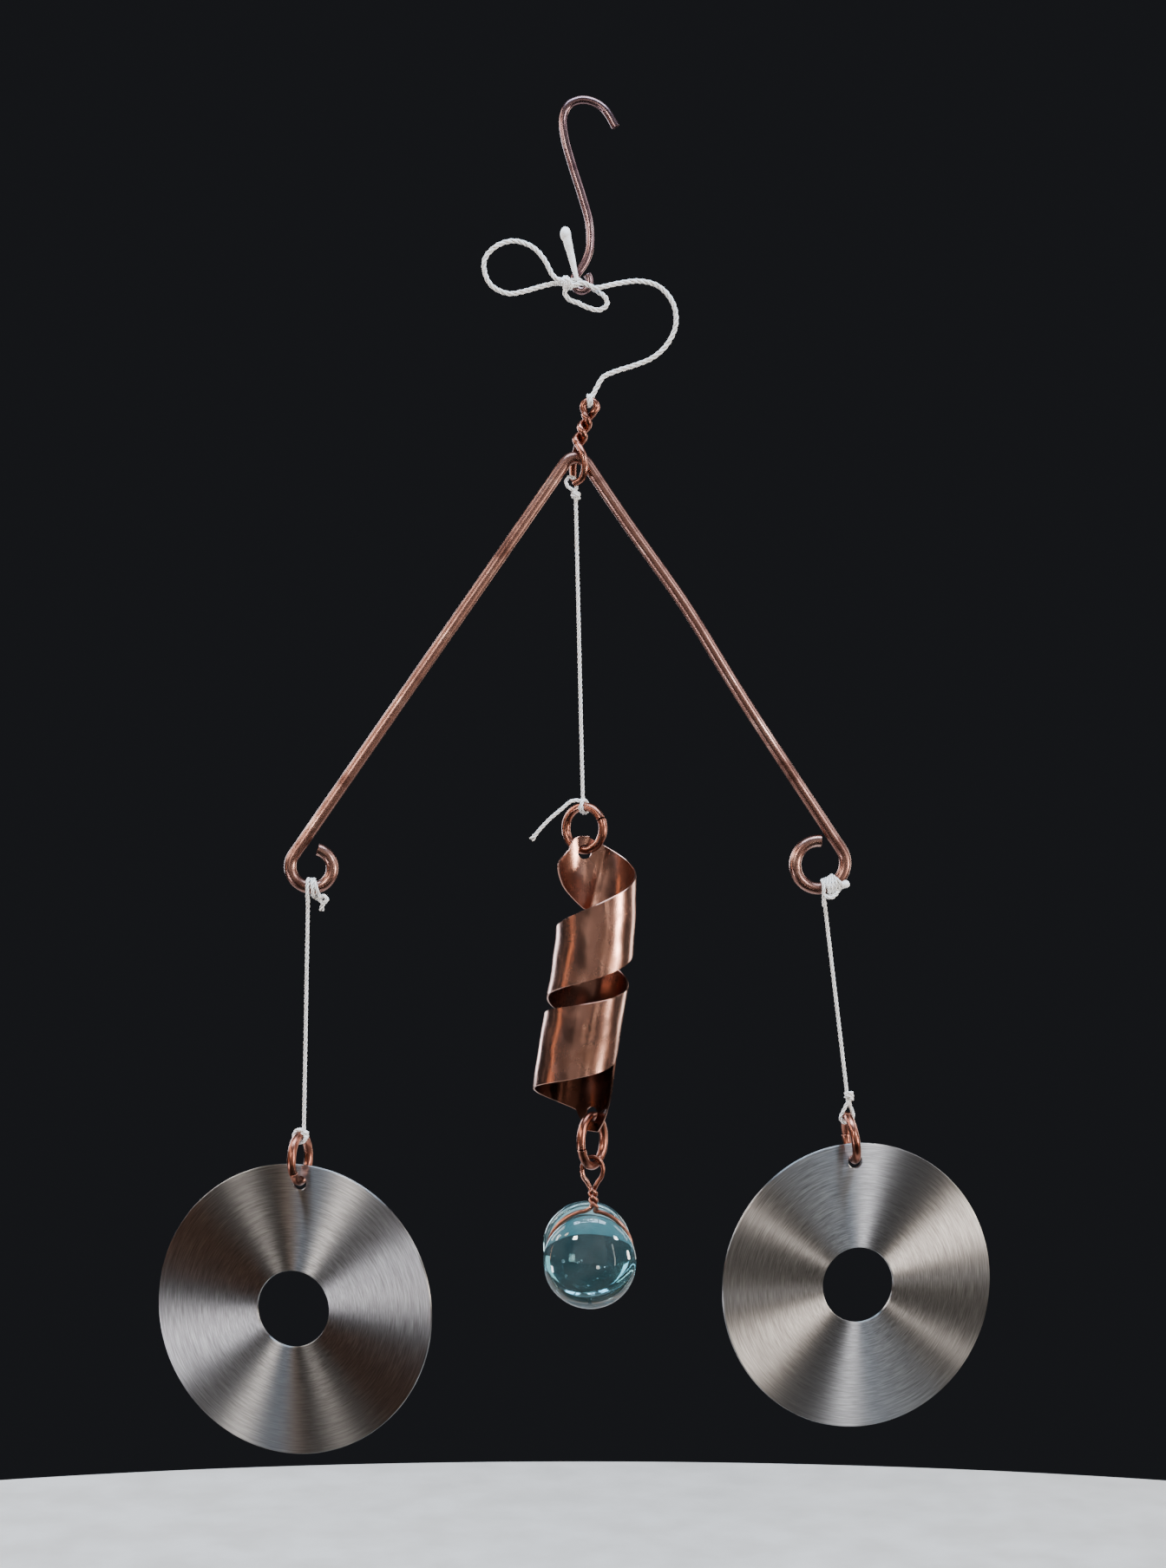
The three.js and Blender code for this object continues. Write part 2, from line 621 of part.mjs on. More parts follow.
// Glass gems and their bail
function gem(name, { x, z, radius, height, direction }) {
  const flat = radius * GEM_FLAT_SHARE;
  const edge = height * GEM_EDGE_SHARE;
  const rim = series(GEM_STEPS.rim, (t) => {
    const turn = (t * Math.PI) / 2;
    return new THREE.Vector2(flat + (radius - flat) * Math.sin(turn), edge * (1 - Math.cos(turn)));
  });
  const dome = series(GEM_STEPS.dome, (t) => {
    const turn = (t * Math.PI) / 2;
    return new THREE.Vector2(radius * Math.cos(turn), edge + (height - edge) * Math.sin(turn));
  }).slice(1, -1);
  const profile = [new THREE.Vector2(0, 0), ...rim, ...dome, new THREE.Vector2(0, height)];
  const mesh = piece(name, new THREE.LatheGeometry(profile, SIDES.gem), CLEAR_GLASS);
  mesh.position.set(x, GLASS_DEPTH + direction * (BAIL_WIRE / 2 + GAP), z);
  mesh.rotation.z = direction < 0 ? Math.PI : 0;
}

gem("front_glass_gem", FRONT_GEM);
gem("back_glass_gem", BACK_GEM);

function bailPath() {
  const { x, z, radius } = BAIL_ROUND;
  const loopX = glassRing.bottom.x;
  const loopTop = glassRing.bottom.z + (RING_WIRE + BAIL_WIRE) / 2 + BAIL_LOOP.clearance;
  const twistRadius = (BAIL_WIRE + STRAND_SPACE) / 2;
  const { right, forward, rise } = BAIL_TWIST_FOOT;
  const twistTop = at(loopX, GLASS_DEPTH, BAIL_LOOP.bottom);
  const twistBottom = at(x + right, GLASS_DEPTH - forward, z + radius + rise);
  const strand = (phase) =>
    series(BAIL_STEPS.twist, (t) => {
      const turn = radians(phase - BAIL_TWIST_TURN * t);
      const offset = at(twistRadius * Math.cos(turn), -twistRadius * Math.sin(turn), 0);
      return twistTop.clone().lerp(twistBottom, t).add(offset);
    });
  const halfRound = (side) =>
    series(BAIL_STEPS.round, (t) => {
      const turn = Math.PI / 2 - side * lerp(BAIL_ROUND_ENDS.top, Math.PI - BAIL_ROUND_ENDS.bottom, t);
      return at(x + radius * Math.cos(turn), GLASS_DEPTH, z + radius * Math.sin(turn));
    });
  const halfHeight = (loopTop - BAIL_LOOP.bottom - rise) / 2;
  const loop = series(BAIL_STEPS.loop, (t) => {
    const turn = radians(lerp(BAIL_LOOP_TURNS.from, BAIL_LOOP_TURNS.to, t));
    const height = loopTop - halfHeight + halfHeight * Math.sin(turn);
    return at(loopX + BAIL_LOOP.halfWidth * Math.cos(turn), GLASS_DEPTH, height);
  });
  // After one and a half turns each strand comes out on the other side.
  const fromLeft = [...strand(180), ...halfRound(1)].reverse();
  return [...fromLeft, ...loop, ...strand(0), ...halfRound(-1)];
}

piece("glass_bail", wire(bailPath(), BAIL_WIRE, SIDES.bail), BRIGHT_COPPER);

// Suspension cord: the knot, two loops and tail of the bow, the slack run, and the tie in the hanger's eye
const suspensionRun = route(SUSPENSION_RUN);
const smallLoop = route(SMALL_LOOP);
const roundTheBowKnot = lump(BOW_KNOT, GAP);
const roundTheRun = cord(suspensionRun, SUSPENSION_CORD, GAP);
const roundTheSmallLoop = cord(smallLoop, SUSPENSION_CORD, GAP);
const tail = cord(route(BOW_TAIL), MELTED_TAIL);
piece("suspension_cord_knot", shaped(lump(BOW_KNOT), { cut: [roundTheHook] }), WHITE_CORD);
const run = cord(suspensionRun, SUSPENSION_CORD);
const roundTheHangerTie = lump(HANGER_TIE, GAP);
piece(
  "suspension_cord_run",
  shaped(run, { cut: [roundTheBowKnot, roundTheHook, roundTheHangerTie] }),
  WHITE_CORD,
);
const bowLoop = cord(route(BOW_LOOP), SUSPENSION_CORD);
piece("suspension_cord_bow_loop", shaped(bowLoop, { cut: [roundTheBowKnot] }), WHITE_CORD);
piece(
  "suspension_cord_small_loop",
  shaped(cord(smallLoop, SUSPENSION_CORD), { cut: [roundTheBowKnot, roundTheHook, roundTheRun] }),
  WHITE_CORD,
);
const roundTheBow = [roundTheBowKnot, roundTheRun, roundTheSmallLoop, roundTheHook];
piece("suspension_cord_tail", shaped(tail, { join: [lump(TAIL_END)], cut: roundTheBow }), WHITE_CORD);
piece("suspension_cord_hanger_tie", shaped(lump(HANGER_TIE), { cut: [roundTheHanger] }), WHITE_CORD);

// Centre cord: the knot under the hanger, the run, the tie on the spiral's ring and the free tail
const ringTie = { ...CENTRE_RING_TIE, centre: spiralRing.top.clone() };
piece("centre_cord_hanger_knot", shaped(lump(HANGER_KNOT), { cut: [roundTheHanger] }), WHITE_CORD);
const centreRun = straightCord(...route(CENTRE_CORD), HANGING_CORD);
const roundTheTies = [HANGER_KNOT, ringTie].map((tie) => lump(tie, GAP));
piece("centre_cord", shaped(centreRun, { cut: roundTheTies }), WHITE_CORD);
piece("centre_cord_ring_tie", shaped(lump(ringTie), { cut: [spiralRing.around] }), WHITE_CORD);
const roundTheCentreRun = straightCord(...route(CENTRE_CORD), HANGING_CORD + 2 * GAP);
const roundTheTail = [lump(ringTie, GAP), spiralRing.around, roundTheCentreRun];
const centreTail = cord(route(CENTRE_TAIL), HANGING_CORD);
piece("centre_cord_tail", shaped(centreTail, { cut: roundTheTail }), WHITE_CORD);

export default mobile;
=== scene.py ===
"""Looks for a hanging mobile: copper wire, twisted cord, two brushed discs, a copper spiral and a glass drop.

Everything is in metres in the solids' frame: +Z up, +X to the right as seen from the front and +Y away from
the front, with the origin under the hook's bend. The meshes follow the centrelines of the solids and add what
those leave out: the strands of the cord, its turns and knots, the drawn and brushed metal, the dents of the
hand-bent strip and the bubbles in the glass.
"""

import logging
import math
from collections.abc import Mapping, Sequence
from dataclasses import dataclass, field
from enum import Enum
from functools import cached_property

import bmesh
import bpy
import numpy as np
from bpy.types import ID, Material, Mesh, Node, NodeSocket, NodeTree, Object
from mathutils import Matrix, Vector, noise

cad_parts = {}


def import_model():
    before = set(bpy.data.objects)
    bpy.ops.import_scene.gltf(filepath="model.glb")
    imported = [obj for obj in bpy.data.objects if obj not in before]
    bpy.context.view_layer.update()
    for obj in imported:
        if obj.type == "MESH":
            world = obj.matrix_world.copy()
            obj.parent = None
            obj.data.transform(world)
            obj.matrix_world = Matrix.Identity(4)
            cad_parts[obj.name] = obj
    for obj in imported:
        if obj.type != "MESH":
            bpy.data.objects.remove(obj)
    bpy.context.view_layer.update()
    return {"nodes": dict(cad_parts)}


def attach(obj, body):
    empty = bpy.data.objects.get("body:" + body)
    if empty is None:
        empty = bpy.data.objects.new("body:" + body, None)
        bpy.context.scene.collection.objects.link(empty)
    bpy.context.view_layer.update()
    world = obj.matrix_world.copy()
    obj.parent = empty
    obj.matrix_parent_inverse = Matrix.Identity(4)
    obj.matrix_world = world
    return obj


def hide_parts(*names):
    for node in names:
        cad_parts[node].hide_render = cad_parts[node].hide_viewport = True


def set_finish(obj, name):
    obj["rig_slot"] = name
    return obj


LOG = logging.getLogger("hanging_mobile")
BODY = "root"

Pair = tuple[float, float]
Row = tuple[float, float, float]
Rows = tuple[Row, ...]

# The pattern map that runs round (u) and along (v) a wire, strand or strip, both in metres.
ALONG_MAP = "along"

# Clear space that the solids keep between pieces that touch.
GAP = 0.0003
# Wire and cord diameters.
HOOK_WIRE = 0.0028
HANGER_WIRE = 0.0023
ARM_WIRE = 0.0041
RING_WIRE = 0.0029
BAIL_WIRE = 0.0015
SUSPENSION_CORD = 0.0017
HANGING_CORD = 0.0013

# Spacing of the sections of wires and cords, and the sides of their sections.
WIRE_SPACING = 0.0004
CORD_SPACING = 0.00035
WIRE_SIDES = 20
STRAND_SIDES = 8
# The way round a strand in the pattern map, from the side that faces out of the cord and back to it.
STRAND_GIRTH = 0.0019
# Faces that meet at a sharper angle than this keep a hard edge.
SMOOTH_ANGLE = math.radians(38)
# Directions with a cosine above this are too nearly parallel to set axes by.
NEARLY_PARALLEL = 0.9


class Slot(Enum):
    """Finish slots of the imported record."""

    DARK_COPPER = "dark_copper"
    BROWN_COPPER = "brown_copper"
    BRIGHT_COPPER = "bright_copper"
    SHEET_COPPER = "sheet_copper"
    BRUSHED_ALUMINIUM = "brushed_aluminium"
    CLEAR_GLASS = "clear_glass"
    WHITE_CORD = "white_cord"


class Side(Enum):
    """The two arms of the mobile, with the way each goes along X."""

    LEFT = -1
    RIGHT = 1


class Lay(Enum):
    """How a cord lies."""

    LOOSE = "loose"
    TAUT = "taut"


class FarEnd(Enum):
    """What a cord ends in."""

    OBJECT = "object"
    KNOT = "knot"


class Stiffness(Enum):
    """How stiff a cord is."""

    LIMP = "limp"


def linear(colour: str) -> tuple[float, float, float, float]:
    """Turns an sRGB hex colour into linear values.

    Args:
        colour: The colour as "#rrggbb".

    Returns:
        Red, green, blue and a full alpha.
    """
    parts = [int(colour[start : start + 2], 16) / 255 for start in (1, 3, 5)]
    # The sRGB curve: a straight foot near black and a power above it.
    curve = [part / 12.92 if part <= 0.04045 else ((part + 0.055) / 1.055) ** 2.4 for part in parts]
    return *curve, 1.0


def add_node(
    tree: NodeTree,
    kind: str,
    settings: Mapping[str | int, object] | None = None,
    links: Mapping[str | int, Node | NodeSocket] | None = None,
) -> Node:
    """Adds a shader node with its settings and links.

    Args:
        tree: The node tree that gets the node.
        kind: The node's type, without the leading "ShaderNode".
        settings: Values by input socket or by the node's own property; "stops" gives a colour ramp its places
            and hex colours.
        links: What feeds each input socket: an output socket, or a node for its first one in use.

    Returns:
        The new node.
    """
    node = tree.nodes.new(f"ShaderNode{kind}")
    for key, value in (settings or {}).items():
        if key == "stops":
            elements = node.color_ramp.elements
            elements.remove(elements[-1])
            for index, (position, colour) in enumerate(value):
                element = elements.new(position) if index else elements[0]
                element.position = position
                element.color = linear(colour)
        elif isinstance(key, int) or key in node.inputs:
            node.inputs[key].default_value = value
        else:
            setattr(node, key, value)
    for key, source in (links or {}).items():
        if isinstance(source, Node):
            source = next(socket for socket in source.outputs if socket.enabled)
        tree.links.new(source, node.inputs[key])
    return node


def travelled(points: np.ndarray) -> np.ndarray:
    """The distance along a line to each of its points."""
    return np.concatenate([[0.0], np.cumsum(np.linalg.norm(np.diff(points, axis=0), axis=1))])


def even_points(points: np.ndarray, spacing: float) -> np.ndarray:
    """Spreads points evenly along a line.

    Args:
        points: The line's points, one row each.
        spacing: The wanted distance between points.

    Returns:
        The evenly spaced points, first and last kept.
    """
    travel = travelled(points)
    count = max(3, round(travel[-1] / spacing) + 1)
    wanted = np.linspace(0.0, travel[-1], count)
    return np.column_stack([np.interp(wanted, travel, points[:, axis]) for axis in range(3)])


def smooth_route(points: Sequence[Row] | np.ndarray, spacing: float) -> np.ndarray:
    """Draws a smooth line through points, by a centripetal Catmull-Rom curve.

    Args:
        points: The points that the line goes through.
        spacing: The distance between the points of the result.

    Returns:
        Evenly spaced points of the line.
    """
    steps_per_span = 24
    knots = np.asarray(points, float)
    padded = np.vstack([2 * knots[0] - knots[1], knots, 2 * knots[-1] - knots[-2]])
    share = np.linspace(0.0, 1.0, steps_per_span, endpoint=False)[:, None]
    dense = []
    for before, start, end, after in zip(padded, padded[1:], padded[2:], padded[3:]):
        first = math.sqrt(np.linalg.norm(start - before))
        middle = math.sqrt(np.linalg.norm(end - start))
        last = math.sqrt(np.linalg.norm(after - end))
        leave = ((start - before) / first - (end - before) / (first + middle)) * middle + end - start
        arrive = ((after - end) / last - (after - start) / (middle + last)) * middle + end - start
        bend = 3 * (end - start) - 2 * leave - arrive
        twist = 2 * (start - end) + leave + arrive
        dense.append(start + leave * share + bend * share**2 + twist * share**3)
    return even_points(np.vstack([*dense, knots[-1:]]), spacing)


def line_length(points: np.ndarray) -> float:
    """The length of a line of points."""
    return float(np.linalg.norm(np.diff(points, axis=0), axis=1).sum())


def line_axes(points: np.ndarray) -> tuple[np.ndarray, np.ndarray, np.ndarray]:
    """Finds the direction of a line at each point, and two directions across it that don't twist.

    Args:
        points: The line's points.

    Returns:
        Unit tangents, normals and sideways directions, one row for each point.
    """
    tangents = np.gradient(points, axis=0)
    tangents /= np.linalg.norm(tangents, axis=1)[:, None]
    along_depth = abs(tangents[0][1]) >= NEARLY_PARALLEL
    normal = np.array([1.0, 0.0, 0.0] if along_depth else [0.0, 1.0, 0.0])
    normals = np.empty_like(points)
    for index, tangent in enumerate(tangents):
        normal = normal - tangent * normal.dot(tangent)
        normal = normal / np.linalg.norm(normal)
        normals[index] = normal
    return tangents, normals, np.cross(tangents, normals)


def rotated(points: np.ndarray, matrix: Matrix) -> np.ndarray:
    """Moves points by a placing matrix."""
    turn = np.array(matrix.to_3x3())
    return points @ turn.T + np.array(matrix.translation)


def oval_arc(middle: Row, half_sizes: Pair, turns: np.ndarray) -> np.ndarray:
    """Draws part of an upright oval that faces the front.

    Args:
        middle: The oval's middle.
        half_sizes: Its half width and half height.
        turns: The turn angles of the points, where a quarter turn is the top.

    Returns:
        The points.
    """
    x, y, z = middle
    half_width, half_height = half_sizes
    depths = np.full(len(turns), y)
    return np.column_stack([x + half_width * np.cos(turns), depths, z + half_height * np.sin(turns)])


def twist_strand(top: Row, foot: Row, radius: float, twist: float, phase: float, steps: int) -> np.ndarray:
    """Draws one strand of two wires that are twisted together, from the top down.

    Args:
        top: The twist's middle at its top.
        foot: The twist's middle at its foot.
        radius: The strand's distance from the middle.
        twist: The turn from top to foot.
        phase: The strand's turn angle at the top.
        steps: The steps from top to foot.

    Returns:
        The strand's points.
    """
    start, end = np.array(top), np.array(foot)
    shares = np.linspace(0.0, 1.0, steps + 1)[:, None]
    turns = phase - twist * shares
    around = np.hstack([np.cos(turns), -np.sin(turns), np.zeros_like(turns)])
    return start + (end - start) * shares + radius * around


@dataclass
class MeshPlan:
    """Corners, faces and pattern places of a mesh in the making."""

    corners: list[Row] = field(default_factory=list)
    faces: list[tuple[int, ...]] = field(default_factory=list)
    places: list[Pair] = field(default_factory=list)

    @staticmethod
    def from_grid(grid: np.ndarray, around: np.ndarray, along: np.ndarray) -> "MeshPlan":
        """Makes a skin over rings of points, with the first and last ring closed.

        Args:
            grid: Points by ring and by place on the ring.
            around: Pattern place of each point on the ring, with one more for the way back to the first.
            along: Pattern place of each ring.

        Returns:
            The plan of the skin.
        """
        rings, count, _ = grid.shape
        plan = MeshPlan(corners=[tuple(corner) for corner in grid.reshape(-1, 3).tolist()])
        for ring in range(rings - 1):
            low, high = float(along[ring]), float(along[ring + 1])
            for place in range(count):
                beside = (place + 1) % count
                here, there = ring * count, (ring + 1) * count
                plan.faces.append((here + place, here + beside, there + beside, there + place))
                left, right = float(around[place]), float(around[place + 1])
                plan.places.extend([(left, low), (right, low), (right, high), (left, high)])
        last = (rings - 1) * count
        plan.faces.append(tuple(reversed(range(count))))
        plan.faces.append(tuple(range(last, last + count)))
        plan.places.extend([(0.0, float(along[0]))] * count + [(0.0, float(along[-1]))] * count)
        return plan

    def join(self, other: "MeshPlan") -> None:
        """Takes another plan into this one.

        Args:
            other: The plan to take in.
        """
        start = len(self.corners)
        self.corners.extend(other.corners)
        self.faces.extend(tuple(start + corner for corner in face) for face in other.faces)
        self.places.extend(other.places)

    def to_object(self, name: str) -> Object:
        """Makes the mesh object.

        Args:
            name: The object's name.

        Returns:
            The object, in the scene, with its pattern map and smooth faces.
        """
        mesh = bpy.data.meshes.new(name)
        mesh.from_pydata(self.corners, [], self.faces)
        layer = mesh.uv_layers.new(name=ALONG_MAP)
        layer.data.foreach_set("uv", np.asarray(self.places, np.float32).ravel())
        return add_object(name, mesh)


def shade_smooth(mesh: Mesh) -> None:
    """Shades a mesh smooth, with hard edges where faces meet sharply.

    Args:
        mesh: The mesh.
    """
    mesh.polygons.foreach_set("use_smooth", [True] * len(mesh.polygons))
    mesh.set_sharp_from_angle(angle=SMOOTH_ANGLE)
    mesh.update()


def add_object(name: str, data: ID) -> Object:
    """Adds an object to the scene, shaded smooth if it is a mesh.

    Args:
        name: The object's name.
        data: Its mesh, curve, lamp or camera.

    Returns:
        The object.
    """
    if isinstance(data, Mesh):
        shade_smooth(data)
    made = bpy.data.objects.new(name, data)
    bpy.context.scene.collection.objects.link(made)
    return made


def tube(
    points: np.ndarray,
    radii: np.ndarray | float,
    sides: int,
    bevel: float = 0.0,
    outward: np.ndarray | None = None,
) -> MeshPlan:
    """Sweeps a round section along a line.

    Args:
        points: The line's points.
        radii: The section's radius, or one radius for each point.
        sides: Sides of the section.
        bevel: Size of the edge round the two cut ends.
        outward: For a strand, the way out of the cord at each point, where the pattern map begins.

    Returns:
        The plan of the closed tube.
    """
    sizes = np.broadcast_to(np.asarray(radii, float), len(points)).copy()
    tangents, normals, sideways = line_axes(points)
    if bevel:
        ends = points[0] + tangents[0] * bevel, points[-1] - tangents[-1] * bevel
        points = np.vstack([points[:1], ends[:1], points[1:-1], ends[1:], points[-1:]])
        sizes = np.concatenate([[sizes[0] - bevel], sizes, [sizes[-1] - bevel]])
        tangents, normals, sideways = line_axes(points)
    girth = math.tau * float(sizes.mean())
    if outward is not None:
        normals = outward - tangents * np.sum(outward * tangents, axis=1)[:, None]
        normals /= np.linalg.norm(normals, axis=1)[:, None]
        sideways = np.cross(tangents, normals)
        girth = STRAND_GIRTH
    turns = np.linspace(0.0, math.tau, sides, endpoint=False)[None, :, None]
    across = normals[:, None] * np.cos(turns) + sideways[:, None] * np.sin(turns)
    grid = points[:, None] + across * sizes[:, None, None]
    return MeshPlan.from_grid(grid, np.linspace(0.0, girth, sides + 1), travelled(points))


def hand_drawn_radii(points: np.ndarray, radius: float, unevenness: float = 0.008) -> np.ndarray:
    """Gives a wire the slight unevenness of bending by hand.

    Args:
        points: The wire's centreline.
        radius: The wire's radius.
        unevenness: The share by which the radius changes.

    Returns:
        One radius for each point.
    """
    bump_length = 0.0045
    bumps = [noise.noise(Vector(point) / bump_length) for point in points]
    return np.array([radius * (1 + unevenness * bump) for bump in bumps])


def copper_wire(points: np.ndarray, diameter: float, sides: int = WIRE_SIDES) -> MeshPlan:
    """A bent wire with square-cut, slightly dressed ends."""
    cut_edge = 0.00018
    return tube(points, hand_drawn_radii(points, diameter / 2), sides, cut_edge)


def twisted_cord(points: np.ndarray, diameter: float, fray: float = 0.0) -> MeshPlan:
    """Lays three strands round a line, as a right-laid cord.

    Args:
        points: The cord's centreline, evenly spaced.
        diameter: The cord's diameter.
        fray: How far the strands open at the last end, in cord diameters.

    Returns:
        The plan of the strands.
    """
    strands = 3
    lay_length = 3.9 * diameter
    fray_length = 1.1 * diameter
    # Three round strands that touch, a little swollen so that no light falls between them.
    strand_swell = 1.02
    strand_radius = diameter / 2 / (1 + 2 / math.sqrt(3)) * strand_swell
    _, normals, sideways = line_axes(points)
    travel = travelled(points)
    opening = fray * np.exp(-(((travel[-1] - travel) / fray_length) ** 2))
    reaches = (diameter / 2 - strand_radius + opening * diameter)[:, None]
    plan = MeshPlan()
    for strand in range(strands):
        turns = math.tau * (travel / lay_length + strand / strands)
        outward = np.cos(turns)[:, None] * normals + np.sin(turns)[:, None] * sideways
        plan.join(tube(points + reaches * outward, strand_radius, STRAND_SIDES, outward=outward))
    return plan


def cord_through(rows: Sequence[Row], diameter: float, fray: float = 0.0) -> MeshPlan:
    """A twisted cord through points, with its last end frayed."""
    return twisted_cord(smooth_route(rows, CORD_SPACING), diameter, fray)


@dataclass(frozen=True)
class Winding:
    """Turns of cord about a middle.

    Half is the way that they cover to each side of it, axis the direction that they go round, and turns the
    first and last in whole turns from the direction nearest to the front.
    """

    half: Row
    axis: Row
    radius: float
    turns: Pair

    def cord(self, middle: Sequence[float], diameter: float) -> MeshPlan:
        """Winds a cord.

        Args:
            middle: The middle of the turns.
            diameter: The cord's diameter.

        Returns:
            The plan of the cord.
        """
        fewest_steps, steps_per_turn = 4, 28
        along = Vector(self.axis).normalized()
        front = Vector((0.0, -1.0, 0.0))
        if abs(along.dot(front)) > NEARLY_PARALLEL:
            front = Vector((1.0, 0.0, 0.0))
        first = (front - along * front.dot(along)).normalized()
        second = along.cross(first)
        begin, end = self.turns
        count = max(fewest_steps, round(abs(end - begin) * steps_per_turn))
        shares = np.linspace(0.0, 1.0, count + 1)[:, None]
        angles = math.tau * (begin + (end - begin) * shares)
        offsets = np.array(first) * np.cos(angles) + np.array(second) * np.sin(angles)
        line = np.array(middle) + np.array(self.half) * (2 * shares - 1) + offsets * self.radius
        return twisted_cord(even_points(line, CORD_SPACING), diameter)


def declare_cord(
    piece: Object,
    line: np.ndarray,
    lay: Lay,
    end: FarEnd,
) -> None:
    """Reads the first point and the length of a cord's centreline, and keeps neither.

    Args:
        piece: The cord; not used.
        line: Its centreline.
        lay: How it lies; not used.
        end: What it ends in; not used.
    """
    tuple(line[0])
    line_length(line)


@dataclass(frozen=True)
class Surface:
    """A surface with a material of its own."""

    name: str

    def shader(self, tree: NodeTree) -> Node:
        """Builds the surface's patterns and returns its shader."""
        raise NotImplementedError

    def material(self) -> Material:
        """Makes the material on first use.

        Returns:
            The material.
        """
        found = bpy.data.materials.get(self.name)
        if found:
            return found
        made = bpy.data.materials.new(self.name)
        made.use_nodes = True
        made.node_tree.nodes.clear()
        add_node(made.node_tree, "OutputMaterial", links={"Surface": self.shader(made.node_tree)})
        return made


@dataclass(frozen=True)
class Finish(Surface):
    """A surface finish that belongs to one of the record's slots."""

    slot: Slot

    def dress(self, piece: Object, *nodes: str) -> Object:
        """Gives a piece this finish and ties it to the frame.

        Args:
            piece: The piece.
            nodes: The solids that the piece stands for.

        Returns:
            The same piece.
        """
        piece.data.materials.clear()
        piece.data.materials.append(self.material())
        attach(piece, BODY)
        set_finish(piece, self.slot.value)
        if nodes:
            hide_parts(*nodes)
        return piece


@dataclass(frozen=True)
class MetalFinish(Finish):
    """A bare metal that is glossier where its pattern is high."""

    # Roughness at the pattern's high and low ends, and where on the pattern its low and high ends lie.
    roughness: Pair = (0.24, 0.34)
    gloss_run: Pair = (0.4, 0.8)

    def bare_metal(
        self,
        tree: NodeTree,
        pattern: Node,
        links: Mapping[str, Node],
        settings: Mapping[str, float] | None = None,
    ) -> Node:
        """Makes a metal surface whose gloss follows a pattern.

        Args:
            tree: The material's node tree.
            pattern: The pattern that sets the gloss.
            links: What feeds the surface's colour, its normal and the like.
            settings: Further values of the surface.

        Returns:
            The surface shader.
        """
        low, high = self.gloss_run
        smooth, rough = self.roughness
        spread = {"From Min": low, "From Max": high, "To Min": rough, "To Max": smooth}
        gloss = add_node(tree, "MapRange", spread, {"Value": pattern})
        surface = {"Metallic": 1.0, **(settings or {})}
        return add_node(tree, "BsdfPrincipled", surface, {"Roughness": gloss, **links})


@dataclass(frozen=True)
class DrawnCopperWire(MetalFinish):
    """Copper wire, drawn through a die and left to tarnish.

    Drawing leaves fine bright lines along the wire. Air turns it brown in soft patches, and handling rubs it
    back to a warmer copper.
    """

    rubbed: str = "#c4917f"
    body: str = "#945f4e"
    tarnish_and_shade: str = "#613a2f"
    # Where on the pattern the tarnish ends, the body begins and ends, and the rubbed copper begins.
    tone_places: tuple[float, ...] = (0.4, 0.54, 0.66, 0.8)
    gloss_run: Pair = (0.42, 0.82)
    patch_size: float = 0.0085
    speck_size: float = 0.0011
    # How much the die lines and the specks add to the pattern of the patches.
    line_share: float = 0.12
    speck_share: float = 0.04
    # Die lines are a few hundredths of a millimetre apart; these are drawn coarser so that they show.
    line_width: float = 0.00032
    line_length: float = 0.03
    line_depth: float = 0.0000025
    line_strength: float = 0.5

    def shader(self, tree: NodeTree) -> Node:
        """Builds tarnish patches, specks and die lines.

        Args:
            tree: The material's node tree.

        Returns:
            The surface shader.
        """
        place = add_node(tree, "TexCoord").outputs["Object"]
        along = add_node(tree, "UVMap", {"uv_map": ALONG_MAP})
        grain = {"Scale": 1 / self.patch_size, "Detail": 4.0, "Roughness": 0.5}
        patches = add_node(tree, "TexNoise", grain, {"Vector": place})
        stretch = (1 / self.line_width, 1 / self.line_length, 1.0)
        stretched = add_node(tree, "Mapping", {"Scale": stretch}, {"Vector": along})
        lines = add_node(tree, "TexNoise", {"Scale": 1.0, "Detail": 3.0}, {"Vector": stretched})
        grain = {"Scale": 1 / self.speck_size, "Detail": 2.0}
        specks = add_node(tree, "TexNoise", grain, {"Vector": place})
        adding = {"operation": "MULTIPLY_ADD", 1: self.line_share}
        lined = add_node(tree, "Math", adding, {0: lines, 2: patches})
        adding = {"operation": "MULTIPLY_ADD", 1: self.speck_share}
        pattern = add_node(tree, "Math", adding, {0: specks, 2: lined})
        tones = zip(self.tone_places, (self.tarnish_and_shade, self.body, self.body, self.rubbed))
        colour = add_node(tree, "ValToRGB", {"stops": tones}, {"Fac": pattern})
        raised = {"Strength": self.line_strength, "Distance": self.line_depth}
        relief = add_node(tree, "Bump", raised, {"Height": lines})
        return self.bare_metal(tree, pattern, {"Base Color": colour, "Normal": relief})


